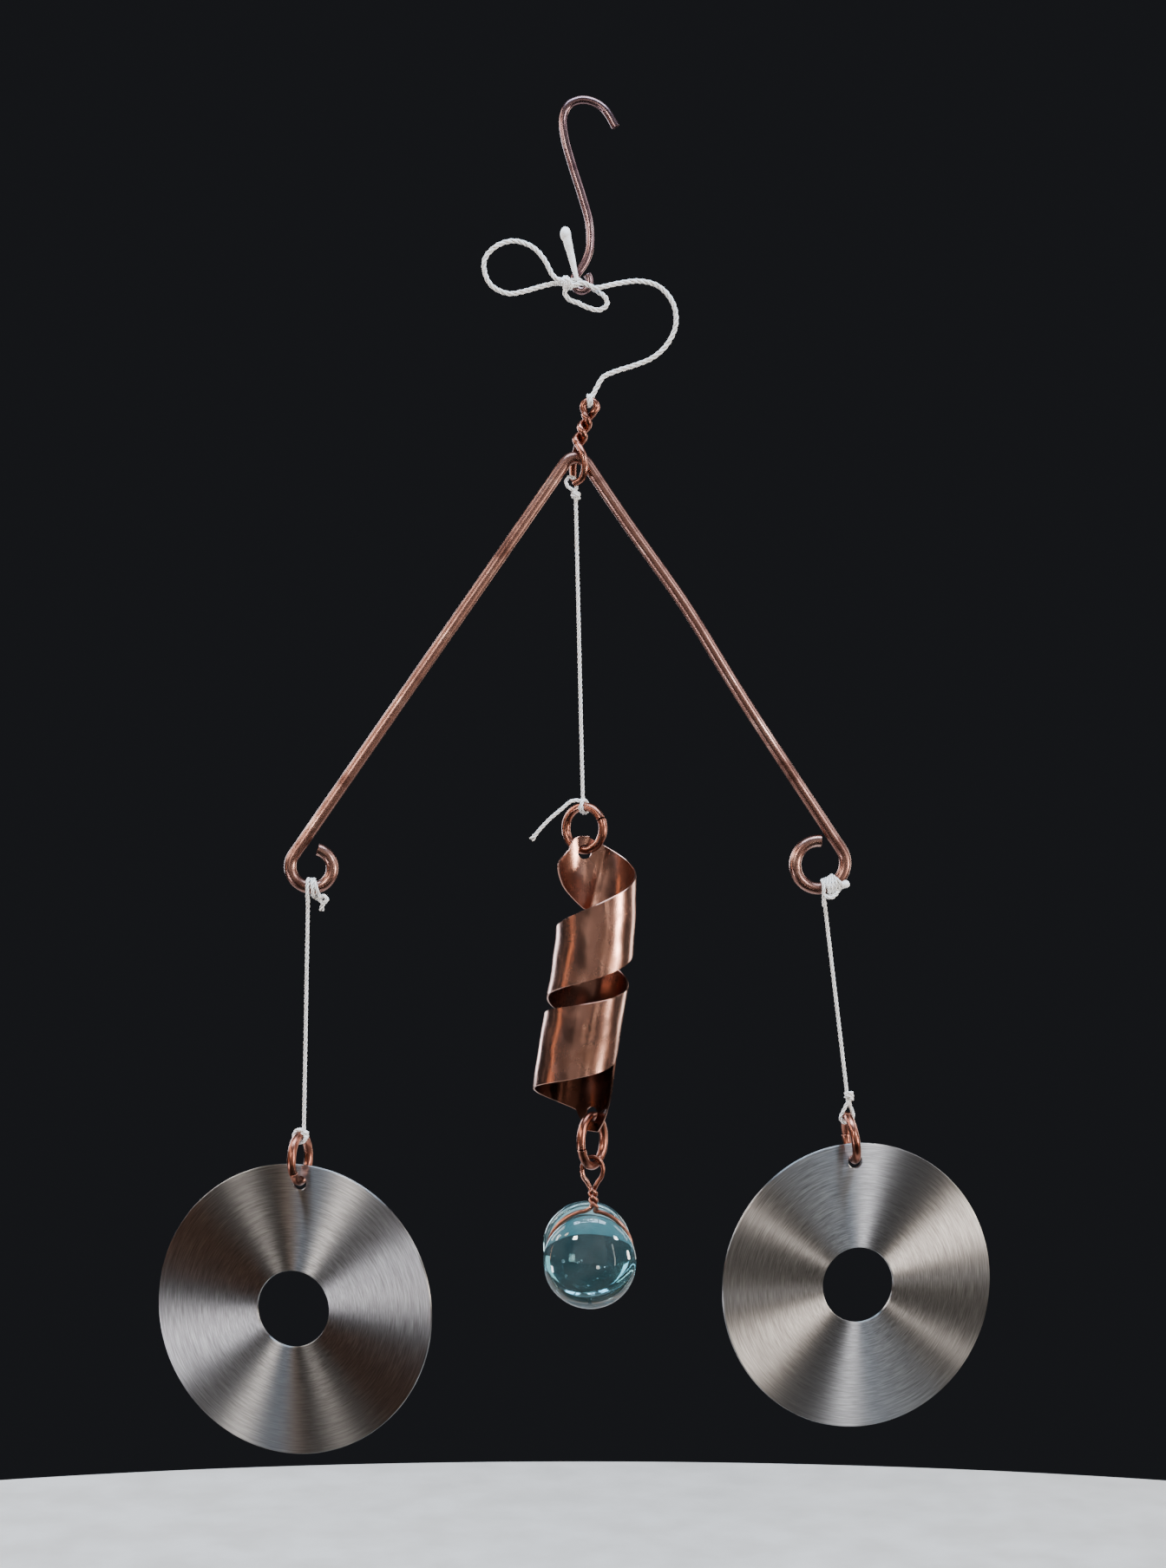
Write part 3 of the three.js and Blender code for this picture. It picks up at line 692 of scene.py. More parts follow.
@dataclass(frozen=True)
class BurnishedCopperSheet(MetalFinish):
    """Copper sheet, cut by hand, wound on a rod and burnished with steel wool.

    The rubbing leaves fine scratches across the strip and a pale pink copper, with browner bloom where
    fingers and heat have been, and the bends keep a few shallow dents.
    """

    pale: str = "#d0a695"
    body: str = "#b18474"
    bloom: str = "#956b5a"
    # Painted shade that darkens the inner face of the coil further along the strip.
    inner_painted_shade: str = "#5e3a2e"
    # Where on the pattern the bloom ends, the body begins and ends, and the pale copper begins.
    tone_places: tuple[float, ...] = (0.4, 0.56, 0.66, 0.8)
    # Where the pattern map passes to the inner face, and where along it the painted shade sets in.
    inner_start: float = 0.0249
    inner_shade_run: Pair = (0.05, 0.17)
    roughness: Pair = (0.18, 0.31)
    bloom_size: float = 0.011
    # How much the scratches add to the pattern of the bloom.
    scratch_share: float = 0.18
    # Steel wool scratches are finer than a picture shows; these are drawn coarser.
    scratch_width: float = 0.00035
    scratch_length: float = 0.009
    scratch_depth: float = 0.00003
    scratch_strength: float = 0.5
    dent_size: float = 0.0055
    dent_depth: float = 0.00014
    dent_strength: float = 0.6

    def shader(self, tree: NodeTree) -> Node:
        """Builds bloom, scratches, dents and painted shade on the inner face, darker further along the strip.

        Args:
            tree: The material's node tree.

        Returns:
            The surface shader.
        """
        place = add_node(tree, "TexCoord").outputs["Object"]
        along = add_node(tree, "UVMap", {"uv_map": ALONG_MAP})
        grain = {"Scale": 1 / self.bloom_size, "Detail": 5.0, "Roughness": 0.55}
        bloom = add_node(tree, "TexNoise", grain, {"Vector": place})
        stretch = (1 / self.scratch_length, 1 / self.scratch_width, 1.0)
        stretched = add_node(tree, "Mapping", {"Scale": stretch}, {"Vector": along})
        grain = {"Scale": 1.0, "Detail": 4.0, "Roughness": 0.6}
        scratches = add_node(tree, "TexNoise", grain, {"Vector": stretched})
        grain = {"Scale": 1 / self.dent_size, "Detail": 1.0}
        dents = add_node(tree, "TexNoise", grain, {"Vector": place})
        adding = {"operation": "MULTIPLY_ADD", 1: self.scratch_share}
        pattern = add_node(tree, "Math", adding, {0: scratches, 2: bloom})
        tones = zip(self.tone_places, (self.bloom, self.body, self.body, self.pale))
        face = add_node(tree, "ValToRGB", {"stops": tones}, {"Fac": pattern})
        spot = add_node(tree, "SeparateXYZ", links={"Vector": along}).outputs
        # Painted shade on the inner face, growing darker from the top end down the strip.
        beyond = {"operation": "GREATER_THAN", 1: self.inner_start}
        inside = add_node(tree, "Math", beyond, {0: spot["X"]})
        spread = {"From Min": self.inner_shade_run[0], "From Max": self.inner_shade_run[1]}
        tarnish_and_shade = add_node(tree, "MapRange", spread, {"Value": spot["Y"]})
        inner_shade = add_node(tree, "Math", {"operation": "MULTIPLY"}, {0: inside, 1: tarnish_and_shade})
        shade_mix = {"data_type": "RGBA", "B": linear(self.inner_painted_shade)}
        colour = add_node(tree, "Mix", shade_mix, {"Factor": inner_shade, "A": face})
        raised = {"Strength": self.dent_strength, "Distance": self.dent_depth}
        wavy = add_node(tree, "Bump", raised, {"Height": dents})
        raised = {"Strength": self.scratch_strength, "Distance": self.scratch_depth}
        relief = add_node(tree, "Bump", raised, {"Height": scratches, "Normal": wavy})
        return self.bare_metal(tree, pattern, {"Base Color": colour, "Normal": relief})


@dataclass(frozen=True)
class CircularBrushedAluminium(MetalFinish):
    """Sheet aluminium, brushed in circles on a turntable.

    The grooves run round the disc, so each light is drawn out into a bright wedge from the middle to the rim.
    Groove by groove the grey changes a little, and the arcs start and stop.
    """

    light: str = "#b4b2b0"
    body: str = "#979594"
    dark: str = "#7c7a78"
    # Where on the pattern the dark, the body and the light lie.
    tone_places: tuple[float, ...] = (0.3, 0.5, 0.72)
    roughness: Pair = (0.34, 0.42)
    gloss_run: Pair = (0.3, 0.7)
    # The abrasive's grooves are about a tenth of a millimetre wide; these are coarser so that they show.
    groove_width: float = 0.00042
    groove_depth: float = 0.00004
    groove_strength: float = 0.35
    arcs_per_turn: float = 5.0
    anisotropy: float = 1.0
    # A quarter turn, because the highlight spreads across the grooves.
    anisotropy_turn: float = 0.25

    def shader(self, tree: NodeTree) -> Node:
        """Builds the round grooves and the drawn-out gloss.

        Args:
            tree: The material's node tree.

        Returns:
            The surface shader.
        """
        place = add_node(tree, "TexCoord").outputs["Object"]
        level = {"operation": "MULTIPLY", 1: (1.0, 1.0, 0.0)}
        flat = add_node(tree, "VectorMath", level, {0: place})
        distance = add_node(tree, "VectorMath", {"operation": "LENGTH"}, {0: flat})
        toward = add_node(tree, "VectorMath", {"operation": "NORMALIZE"}, {0: flat})
        longer = {"operation": "SCALE", "Scale": self.arcs_per_turn}
        arcs = add_node(tree, "VectorMath", longer, {0: toward})
        counting = {"operation": "MULTIPLY", 1: 1 / self.groove_width}
        count = add_node(tree, "Math", counting, {0: distance})
        lifted = add_node(tree, "CombineXYZ", links={"Z": count})
        joined = add_node(tree, "VectorMath", {"operation": "ADD"}, {0: arcs, 1: lifted})
        grain = {"Scale": 1.0, "Detail": 3.0, "Roughness": 0.65}
        grooves = add_node(tree, "TexNoise", grain, {"Vector": joined})
        tones = zip(self.tone_places, (self.dark, self.body, self.light))
        colour = add_node(tree, "ValToRGB", {"stops": tones}, {"Fac": grooves})
        raised = {"Strength": self.groove_strength, "Distance": self.groove_depth}
        relief = add_node(tree, "Bump", raised, {"Height": grooves})
        round_way = add_node(tree, "Tangent", {"direction_type": "RADIAL", "axis": "Z"})
        drawn_out = {"Anisotropic": self.anisotropy, "Anisotropic Rotation": self.anisotropy_turn}
        links = {"Base Color": colour, "Normal": relief, "Tangent": round_way}
        return self.bare_metal(tree, grooves, links, drawn_out)


@dataclass(frozen=True)
class FirePolishedGlass(Finish):
    """Soda-lime glass with a blue-green tint, melted into a pebble and fire-polished.

    It is clear, so its rim and its back show through it bent and teal. The skin has the faint waves of glass
    that set by itself.
    """

    tint: str = "#aacacf"
    deep: str = "#7dadb5"
    # Where on the waves the deep colour and the tint lie.
    tone_places: tuple[float, ...] = (0.35, 0.65)
    transmission: float = 0.93
    roughness: float = 0.025
    index: float = 1.52
    wave_size: float = 0.006
    wave_depth: float = 0.00012
    wave_strength: float = 0.25

    def shader(self, tree: NodeTree) -> Node:
        """Builds the clear body with its waves.

        Args:
            tree: The material's node tree.

        Returns:
            The surface shader.
        """
        place = add_node(tree, "TexCoord").outputs["Object"]
        grain = {"Scale": 1 / self.wave_size, "Detail": 1.0}
        waves = add_node(tree, "TexNoise", grain, {"Vector": place})
        tones = zip(self.tone_places, (self.deep, self.tint))
        colour = add_node(tree, "ValToRGB", {"stops": tones}, {"Fac": waves})
        raised = {"Strength": self.wave_strength, "Distance": self.wave_depth}
        relief = add_node(tree, "Bump", raised, {"Height": waves})
        clear = {"Roughness": self.roughness, "IOR": self.index, "Transmission Weight": self.transmission}
        return add_node(tree, "BsdfPrincipled", clear, {"Base Color": colour, "Normal": relief})


@dataclass(frozen=True)
class TwistedNylonCord(Finish):
    """White nylon line, laid from three strands of fine filaments.

    The filaments give a soft sheen and hair-fine lines along each strand. Painted shade greys the hollows
    between strands, on the side of each strand that faces into the cord.
    """

    clean: str = "#fcfbf8"
    body: str = "#f1efe9"
    soiled: str = "#dcd8d0"
    # Grey painted shade for the hollows between strands.
    painted_hollow_shade: str = "#98928a"
    # Where on the pattern the soiled, the body and the clean white lie.
    tone_places: tuple[float, ...] = (0.45, 0.64, 0.86)
    # Where the painted shade between strands begins and is full, as shares of the way round a strand.
    painted_shade_run: Pair = (0.2, 0.36)
    roughness: float = 0.62
    sheen: float = 0.25
    soil_size: float = 0.004
    # How much the filaments add to the pattern of the soiling.
    filament_share: float = 0.45
    # A filament is about 0.03 mm; these lines are drawn coarser so that they show.
    filament_width: float = 0.00009
    filament_length: float = 0.0022
    filament_depth: float = 0.00003
    filament_strength: float = 0.6

    def shader(self, tree: NodeTree) -> Node:
        """Builds filament lines, faint soiling and painted shade in the hollows between strands.

        Args:
            tree: The material's node tree.

        Returns:
            The surface shader.
        """
        place = add_node(tree, "TexCoord").outputs["Object"]
        along = add_node(tree, "UVMap", {"uv_map": ALONG_MAP})
        grain = {"Scale": 1 / self.soil_size, "Detail": 4.0}
        soil = add_node(tree, "TexNoise", grain, {"Vector": place})
        stretch = (1 / self.filament_width, 1 / self.filament_length, 1.0)
        stretched = add_node(tree, "Mapping", {"Scale": stretch}, {"Vector": along})
        grain = {"Scale": 1.0, "Detail": 2.0}
        filaments = add_node(tree, "TexNoise", grain, {"Vector": stretched})
        adding = {"operation": "MULTIPLY_ADD", 1: self.filament_share}
        pattern = add_node(tree, "Math", adding, {0: filaments, 2: soil})
        tones = zip(self.tone_places, (self.soiled, self.body, self.clean))
        strands = add_node(tree, "ValToRGB", {"stops": tones}, {"Fac": pattern})
        across = add_node(tree, "SeparateXYZ", links={"Vector": along})
        folded = {"operation": "PINGPONG", 1: STRAND_GIRTH / 2}
        depth = add_node(tree, "Math", folded, {0: across})
        begin, full = (STRAND_GIRTH * share for share in self.painted_shade_run)
        spread = {"From Min": begin, "From Max": full}
        painted_shade = add_node(tree, "MapRange", spread, {"Value": depth})
        # Painted shade: grey on the side of each strand that faces into the cord.
        shade_mix = {"data_type": "RGBA", "B": linear(self.painted_hollow_shade)}
        colour = add_node(tree, "Mix", shade_mix, {"Factor": painted_shade, "A": strands})
        raised = {"Strength": self.filament_strength, "Distance": self.filament_depth}
        relief = add_node(tree, "Bump", raised, {"Height": filaments})
        soft = {"Roughness": self.roughness, "Sheen Weight": self.sheen}
        return add_node(tree, "BsdfPrincipled", soft, {"Base Color": colour, "Normal": relief})


HOOK_COPPER = DrawnCopperWire(
    "darkened_drawn_copper",
    Slot.DARK_COPPER,
    rubbed="#a38a88",
    body="#7a6061",
    tarnish_and_shade="#543e41",
    roughness=(0.22, 0.32),
)
ARM_COPPER = DrawnCopperWire(
    "brown_drawn_copper",
    Slot.BROWN_COPPER,
    rubbed="#b38d80",
    body="#8a6459",
    tarnish_and_shade="#5e4038",
    roughness=(0.27, 0.38),
)
RING_COPPER = DrawnCopperWire("tarnished_drawn_copper", Slot.BRIGHT_COPPER)
STRIP_COPPER = BurnishedCopperSheet("burnished_copper_sheet", Slot.SHEET_COPPER)
DISC_ALUMINIUM = CircularBrushedAluminium("circular_brushed_aluminium", Slot.BRUSHED_ALUMINIUM)
GEM_GLASS = FirePolishedGlass("fire_polished_blue_green_glass", Slot.CLEAR_GLASS)
CORD_NYLON = TwistedNylonCord("twisted_white_nylon", Slot.WHITE_CORD)


@dataclass(frozen=True)
class Bead:
    """A bead of melted cord by its middle and its half sizes."""

    centre: Row
    radii: Row


@dataclass(frozen=True)
class CeilingHook:
    """The hook: a crook at the top, a slightly bent shaft and a small closed eye."""

    neck: Rows = (
        (0.0124, 0.0, -0.0076), (0.0086, 0.0, -0.0016), (0.0043, 0.0, 0.0010),
        (0.0003, 0.0, 0.0014), (-0.0035, 0.0, -0.0004), (-0.0052, 0.0, -0.0048),
        (-0.0046, 0.0, -0.0111), (-0.0020, 0.0, -0.0206), (0.0012, 0.0, -0.0307),
        (0.0035, 0.0, -0.0393), (0.0037, 0.0, -0.0477), (0.0023, 0.0, -0.0520),
        (0.0002, 0.0, -0.0553),
    )
    eye_middle: Pair = (0.0010, -0.0589)
    eye_half_sizes: Pair = (0.00255, 0.0032)
    eye_turns: Pair = (150.0, 405.0)
    eye_forward: float = 0.0010
    eye_steps: int = 11

    def centreline(self) -> np.ndarray:
        """Draws the hook's line from its tip to the end of its eye.

        Returns:
            Points of the line.
        """
        x, z = self.eye_middle
        turns = np.radians(np.linspace(*self.eye_turns, self.eye_steps + 1))
        eye = oval_arc((x, 0.0, z), self.eye_half_sizes, turns)
        eye[:, 1] -= np.linspace(0.0, self.eye_forward, len(turns))
        return smooth_route([*self.neck, *eye], WIRE_SPACING)

    def build(self) -> list[Object]:
        """Makes the hook."""
        hook = copper_wire(self.centreline(), HOOK_WIRE).to_object("hook")
        return [HOOK_COPPER.dress(hook, "ceiling_hook")]


@dataclass(frozen=True)
class TwistHanger:
    """The hanger: an eye, a twist of one and a quarter turns, and a loop round the arm's bend."""

    eye_middle: Pair = (0.00375, -0.1005)
    eye_half_sizes: Pair = (0.00225, 0.0022)
    twist_top: Row = (0.0034, 0.0, -0.1024)
    twist_bottom: Row = (-0.0003, 0.0, -0.1130)
    twist_turn: float = math.radians(450)
    strand_space: float = 0.00032
    twist_steps: int = 16
    eye_steps: int = 8
    front: Rows = (
        (0.0004, -0.0025, -0.1143), (0.0014, -0.00365, -0.1166), (0.0020, -0.00375, -0.1195),
        (0.0019, -0.0033, -0.1222), (0.0008, -0.0021, -0.1247), (-0.0016, -0.0007, -0.1260),
    )
    back: Rows = (
        (-0.0008, 0.0026, -0.1145), (-0.0015, 0.00365, -0.1169), (-0.0019, 0.0037, -0.1196),
        (-0.0019, 0.0033, -0.1222), (-0.0018, 0.0024, -0.1242),
    )

    def build(self) -> list[Object]:
        """Makes the hanger.

        Returns:
            The hanger.
        """
        x, z = self.eye_middle
        eye = oval_arc((x, 0.0, z), self.eye_half_sizes, np.linspace(math.pi, 0.0, self.eye_steps + 1))
        radius = (HANGER_WIRE + self.strand_space) / 2
        left, right = (
            twist_strand(self.twist_top, self.twist_bottom, radius, self.twist_turn, phase, self.twist_steps)
            for phase in (math.pi, 0.0)
        )
        rows = [*reversed([*left, *self.front]), *eye, *right, *self.back]
        hanger = copper_wire(smooth_route(rows, WIRE_SPACING), HANGER_WIRE).to_object("hanger")
        return [RING_COPPER.dress(hanger, "twist_hanger")]


@dataclass(frozen=True)
class ArmSide:
    """One arm: its lean, its length, the curl at its end and a slight bow."""

    side: Side
    lean: float
    length: float
    curl_radius: float
    curl_flare: float
    curl_sweep: float
    bow_height: float = 0.0
    bow_place: float = 0.37
    bow_spread: float = 0.17

    def down(self) -> np.ndarray:
        """The way down along the arm, in the wire's plane."""
        return np.array([self.side.value * math.sin(self.lean), -math.cos(self.lean)])

    def inward(self) -> np.ndarray:
        """The way inward across the arm, in the wire's plane."""
        return np.array([-self.side.value * math.cos(self.lean), -math.sin(self.lean)])

    def first_turn(self) -> float:
        """The turn angle at which the arm's curl and the bend begin."""
        across, up = -self.inward()
        return math.atan2(up, across)


@dataclass(frozen=True)
class ArmWire:
    """The thick wire that carries everything: an inverted V with a curl at each end."""

    yaw: float = math.radians(5.8)
    apex: Pair = (-0.00087, -0.1139)
    bend_radius: float = 0.0044
    flare_share: float = 0.4
    straight_steps: int = 24
    bend_steps: int = 12
    curl_steps: int = 40
    left: ArmSide = ArmSide(
        side=Side.LEFT,
        lean=math.radians(34.55),
        length=0.1641,
        curl_radius=0.0064,
        curl_flare=0.0011,
        curl_sweep=math.radians(290),
    )
    right: ArmSide = ArmSide(
        side=Side.RIGHT,
        lean=math.radians(33.77),
        length=0.1608,
        curl_radius=0.0080,
        curl_flare=0.0012,
        curl_sweep=math.radians(310),
        bow_height=0.00125,
    )
    wire_sides: int = 26

    def in_plane(self, along: float, height: float) -> np.ndarray:
        """A point of the upright plane that the wire is bent in."""
        return np.array([along * math.cos(self.yaw), along * math.sin(self.yaw), height])

    def on_arm(self, arm: ArmSide, distance: float) -> np.ndarray:
        """A point at a distance down an arm from the apex, in the wire's plane."""
        return np.array(self.apex) + arm.down() * distance

    def on_curl(self, arm: ArmSide, turn: float) -> np.ndarray:
        """A point of an arm's curl.

        Args:
            arm: The arm.
            turn: The turn angle about the curl's middle.

        Returns:
            The point in the wire's plane.
        """
        middle = self.on_arm(arm, arm.length) + arm.inward() * (arm.curl_radius + arm.curl_flare)
        share = arm.side.value * (arm.first_turn() - turn) / arm.curl_sweep
        eased = min(1.0, max(0.0, share / self.flare_share))
        radius = arm.curl_radius + arm.curl_flare * (1 - eased * eased * (3 - 2 * eased))
        return middle + radius * np.array([math.cos(turn), math.sin(turn)])

    def setback(self) -> float:
        """How far down the arms the bend at the top ends."""
        return self.bend_radius / math.tan((self.left.lean + self.right.lean) / 2)

    def side_points(self, arm: ArmSide) -> list[np.ndarray]:
        """Draws one arm from the bend down to the tip of its curl.

        Args:
            arm: The arm.

        Returns:
            Points in the wire's plane.
        """
        rows = []
        for step in range(self.straight_steps + 1):
            share = step / self.straight_steps
            outward = arm.bow_height * math.exp(-(((share - arm.bow_place) / arm.bow_spread) ** 2))
            distance = self.setback() + (arm.length - self.setback()) * share
            rows.append(self.on_arm(arm, distance) - arm.inward() * outward)
        for step in range(1, self.curl_steps + 1):
            turn = arm.first_turn() - arm.side.value * arm.curl_sweep * step / self.curl_steps
            rows.append(self.on_curl(arm, turn))
        return rows

    def centreline(self) -> np.ndarray:
        """Draws the wire's line from the left curl's tip to the right curl's tip.

        Returns:
            Points of the line.
        """
        middle = self.on_arm(self.left, self.setback()) + self.left.inward() * self.bend_radius
        first, last = self.left.first_turn(), self.right.first_turn()
        bend = []
        for step in range(1, self.bend_steps):
            turn = first + (last - first) * step / self.bend_steps
            bend.append(middle + self.bend_radius * np.array([math.cos(turn), math.sin(turn)]))
        flat = [*reversed(self.side_points(self.left)), *bend, *self.side_points(self.right)]
        return smooth_route([self.in_plane(*row) for row in flat], WIRE_SPACING)

    def build(self) -> list[Object]:
        """Makes the arm wire."""
        wire = copper_wire(self.centreline(), ARM_WIRE, self.wire_sides).to_object("arms")
        return [ARM_COPPER.dress(wire, "arm_wire")]


@dataclass(frozen=True)
class WireRing:
    """A ring of round wire with a butted joint."""

    name: str
    node: str
    half_sizes: Pair
    centre: Row
    yaw: float
    joint_turn: float
    lean: float = 0.0
    joint_space: float = 0.00022
    joint_step: float = 0.00025
    steps: int = 96

    def matrix(self) -> Matrix:
        """The ring's place: the turn about the upright first, then the lean."""
        turn = Matrix.Rotation(self.lean, 4, "Y") @ Matrix.Rotation(self.yaw, 4, "Z")
        return Matrix.Translation(self.centre) @ turn

    def at_turn(self, turn: float) -> np.ndarray:
        """A point of the ring's line.

        Args:
            turn: The turn angle, where a quarter turn is the top.

        Returns:
            The point.
        """
        half_width, half_height = self.half_sizes
        local = Vector((half_width * math.cos(turn), 0.0, half_height * math.sin(turn)))
        return np.array(self.matrix() @ local)

    def top(self) -> np.ndarray:
        """The top of the ring's line."""
        return self.at_turn(math.pi / 2)

    def bottom(self) -> np.ndarray:
        """The bottom of the ring's line."""
        return self.at_turn(-math.pi / 2)

    def cord_turns(self, spread: float, turns: float) -> MeshPlan:
        """Winds the hanging cord round the top of the ring.

        Args:
            spread: How far the turns spread to each side, in cord diameters.
            turns: How many turns go round.

        Returns:
            The plan of the turns.
        """
        beside = 0.1
        sideways = self.at_turn(math.pi / 2 - beside) - self.at_turn(math.pi / 2 + beside)
        half = sideways / np.linalg.norm(sideways) * HANGING_CORD * spread
        reach = (RING_WIRE + HANGING_CORD) / 2
        return Winding(tuple(half), tuple(sideways), reach, (0.0, turns)).cord(self.top(), HANGING_CORD)

    def build(self) -> list[Object]:
        """Makes the ring, its two cut ends a little out of line.

        Returns:
            The ring.
        """
        half = self.joint_space / (2 * self.half_sizes[1])
        turns = np.linspace(self.joint_turn + half, self.joint_turn + math.tau - half, self.steps + 1)
        line = oval_arc((0.0, 0.0, 0.0), self.half_sizes, turns)
        line[:, 1] += self.joint_step * (np.linspace(0.0, 1.0, self.steps + 1) - 0.5)
        spread = even_points(rotated(line, self.matrix()), WIRE_SPACING)
        ring = copper_wire(spread, RING_WIRE).to_object(self.name)
        return [RING_COPPER.dress(ring, self.node)]


def drilled(piece: Object, drills: Sequence[Object]) -> Object:
    """Cuts drills out of a piece and clears them away.

    Args:
        piece: The piece to cut.
        drills: The shapes to cut out.

    Returns:
        The piece with its new mesh.
    """
    for drill in drills:
        cut = piece.modifiers.new("hole", "BOOLEAN")
        cut.operation = "DIFFERENCE"
        cut.solver = "EXACT"
        cut.object = drill
    bpy.context.view_layer.update()
    graph = bpy.context.evaluated_depsgraph_get()
    old = piece.data
    piece.data = bpy.data.meshes.new_from_object(piece.evaluated_get(graph))
    piece.modifiers.clear()
    bpy.data.meshes.remove(old)
    for drill in drills:
        bpy.data.objects.remove(drill)
    shade_smooth(piece.data)
    return piece


@dataclass(frozen=True)
class BrushedDisc:
    """A flat disc with a bore, a small hole near its rim and chamfered edges."""

    name: str
    node: str
    yaw: float
    hole_turn: float
    radius: float = 0.0475
    bore_radius: float = 0.0125
    thickness: float = 0.00127
    chamfer: float = 0.00025
    hole_radius: float = 0.0023
    hole_inset: float = 0.0060

    def hole(self) -> Vector:
        """The small hole's middle on the disc's face."""
        reach = self.radius - self.hole_inset
        return Vector((reach * math.sin(self.hole_turn), reach * math.cos(self.hole_turn), 0.0))

    def matrix(self, ring: WireRing) -> Matrix:
        """The disc's place, hung by its small hole on a ring.

        Args:
            ring: The ring in the hole.

        Returns:
            The placing matrix; the disc's own Z looks to the front.
        """
        seat = self.hole_radius - GAP - RING_WIRE / 2
        right = Vector((math.cos(self.yaw), math.sin(self.yaw), 0.0))
        front = Vector((math.sin(self.yaw), -math.cos(self.yaw), 0.0))
        turn = Matrix((right, Vector((0.0, 0.0, 1.0)), front)).transposed()
        hung = Vector(ring.bottom()) - Vector((0.0, 0.0, seat))
        return Matrix.Translation(hung - turn @ self.hole()) @ turn.to_4x4()

    def build(self, ring: WireRing) -> list[Object]:
        """Cuts the disc from a flat outline with its two holes.

        Args:
            ring: The ring that it hangs on.

        Returns:
            The disc.
        """
        round_steps = 48
        circle_handle = 0.5522847
        outline = bpy.data.curves.new(self.name, "CURVE")
        outline.dimensions = "2D"
        outline.fill_mode = "BOTH"
        outline.extrude = self.thickness / 2 - self.chamfer
        outline.bevel_depth = self.chamfer
        outline.bevel_resolution = 1
        outline.offset = -self.chamfer
        hole = self.hole()
        circles = ((self.radius, Vector()), (self.bore_radius, Vector()), (self.hole_radius, hole))
        for radius, middle in circles:
            spline = outline.splines.new("BEZIER")
            spline.bezier_points.add(3)
            spline.use_cyclic_u = True
            spline.resolution_u = round_steps
            for quarter, point in enumerate(spline.bezier_points):
                turn = quarter * math.pi / 2
                arm = Vector((math.cos(turn), math.sin(turn), 0.0)) * radius
                handle = Vector((-arm.y, arm.x, 0.0)) * circle_handle
                point.co = middle + arm
                point.handle_left = middle + arm - handle
                point.handle_right = middle + arm + handle
        flat = add_object(self.name + "_outline", outline)
        bpy.context.view_layer.update()
        mesh = bpy.data.meshes.new_from_object(flat.evaluated_get(bpy.context.evaluated_depsgraph_get()))
        bpy.data.objects.remove(flat)
        disc = add_object(self.name, mesh)
        disc.matrix_world = self.matrix(ring)
        return [DISC_ALUMINIUM.dress(disc, self.node)]


@dataclass(frozen=True)
class CurlWraps:
    """The cord's tie on an arm's curl: a lead up to its turns, the turns and the strands that leave them.

    The turns go from one turn angle of the curl to another. A winding of 0 is the curl's outer side and a
    quarter is its front. The first strand goes on from the last turn.
    """

    angles: Pair
    windings: Pair
    lead: Rows
    strands: tuple[Rows, ...]
    fray: float = 0.0
    bead: Bead | None = None


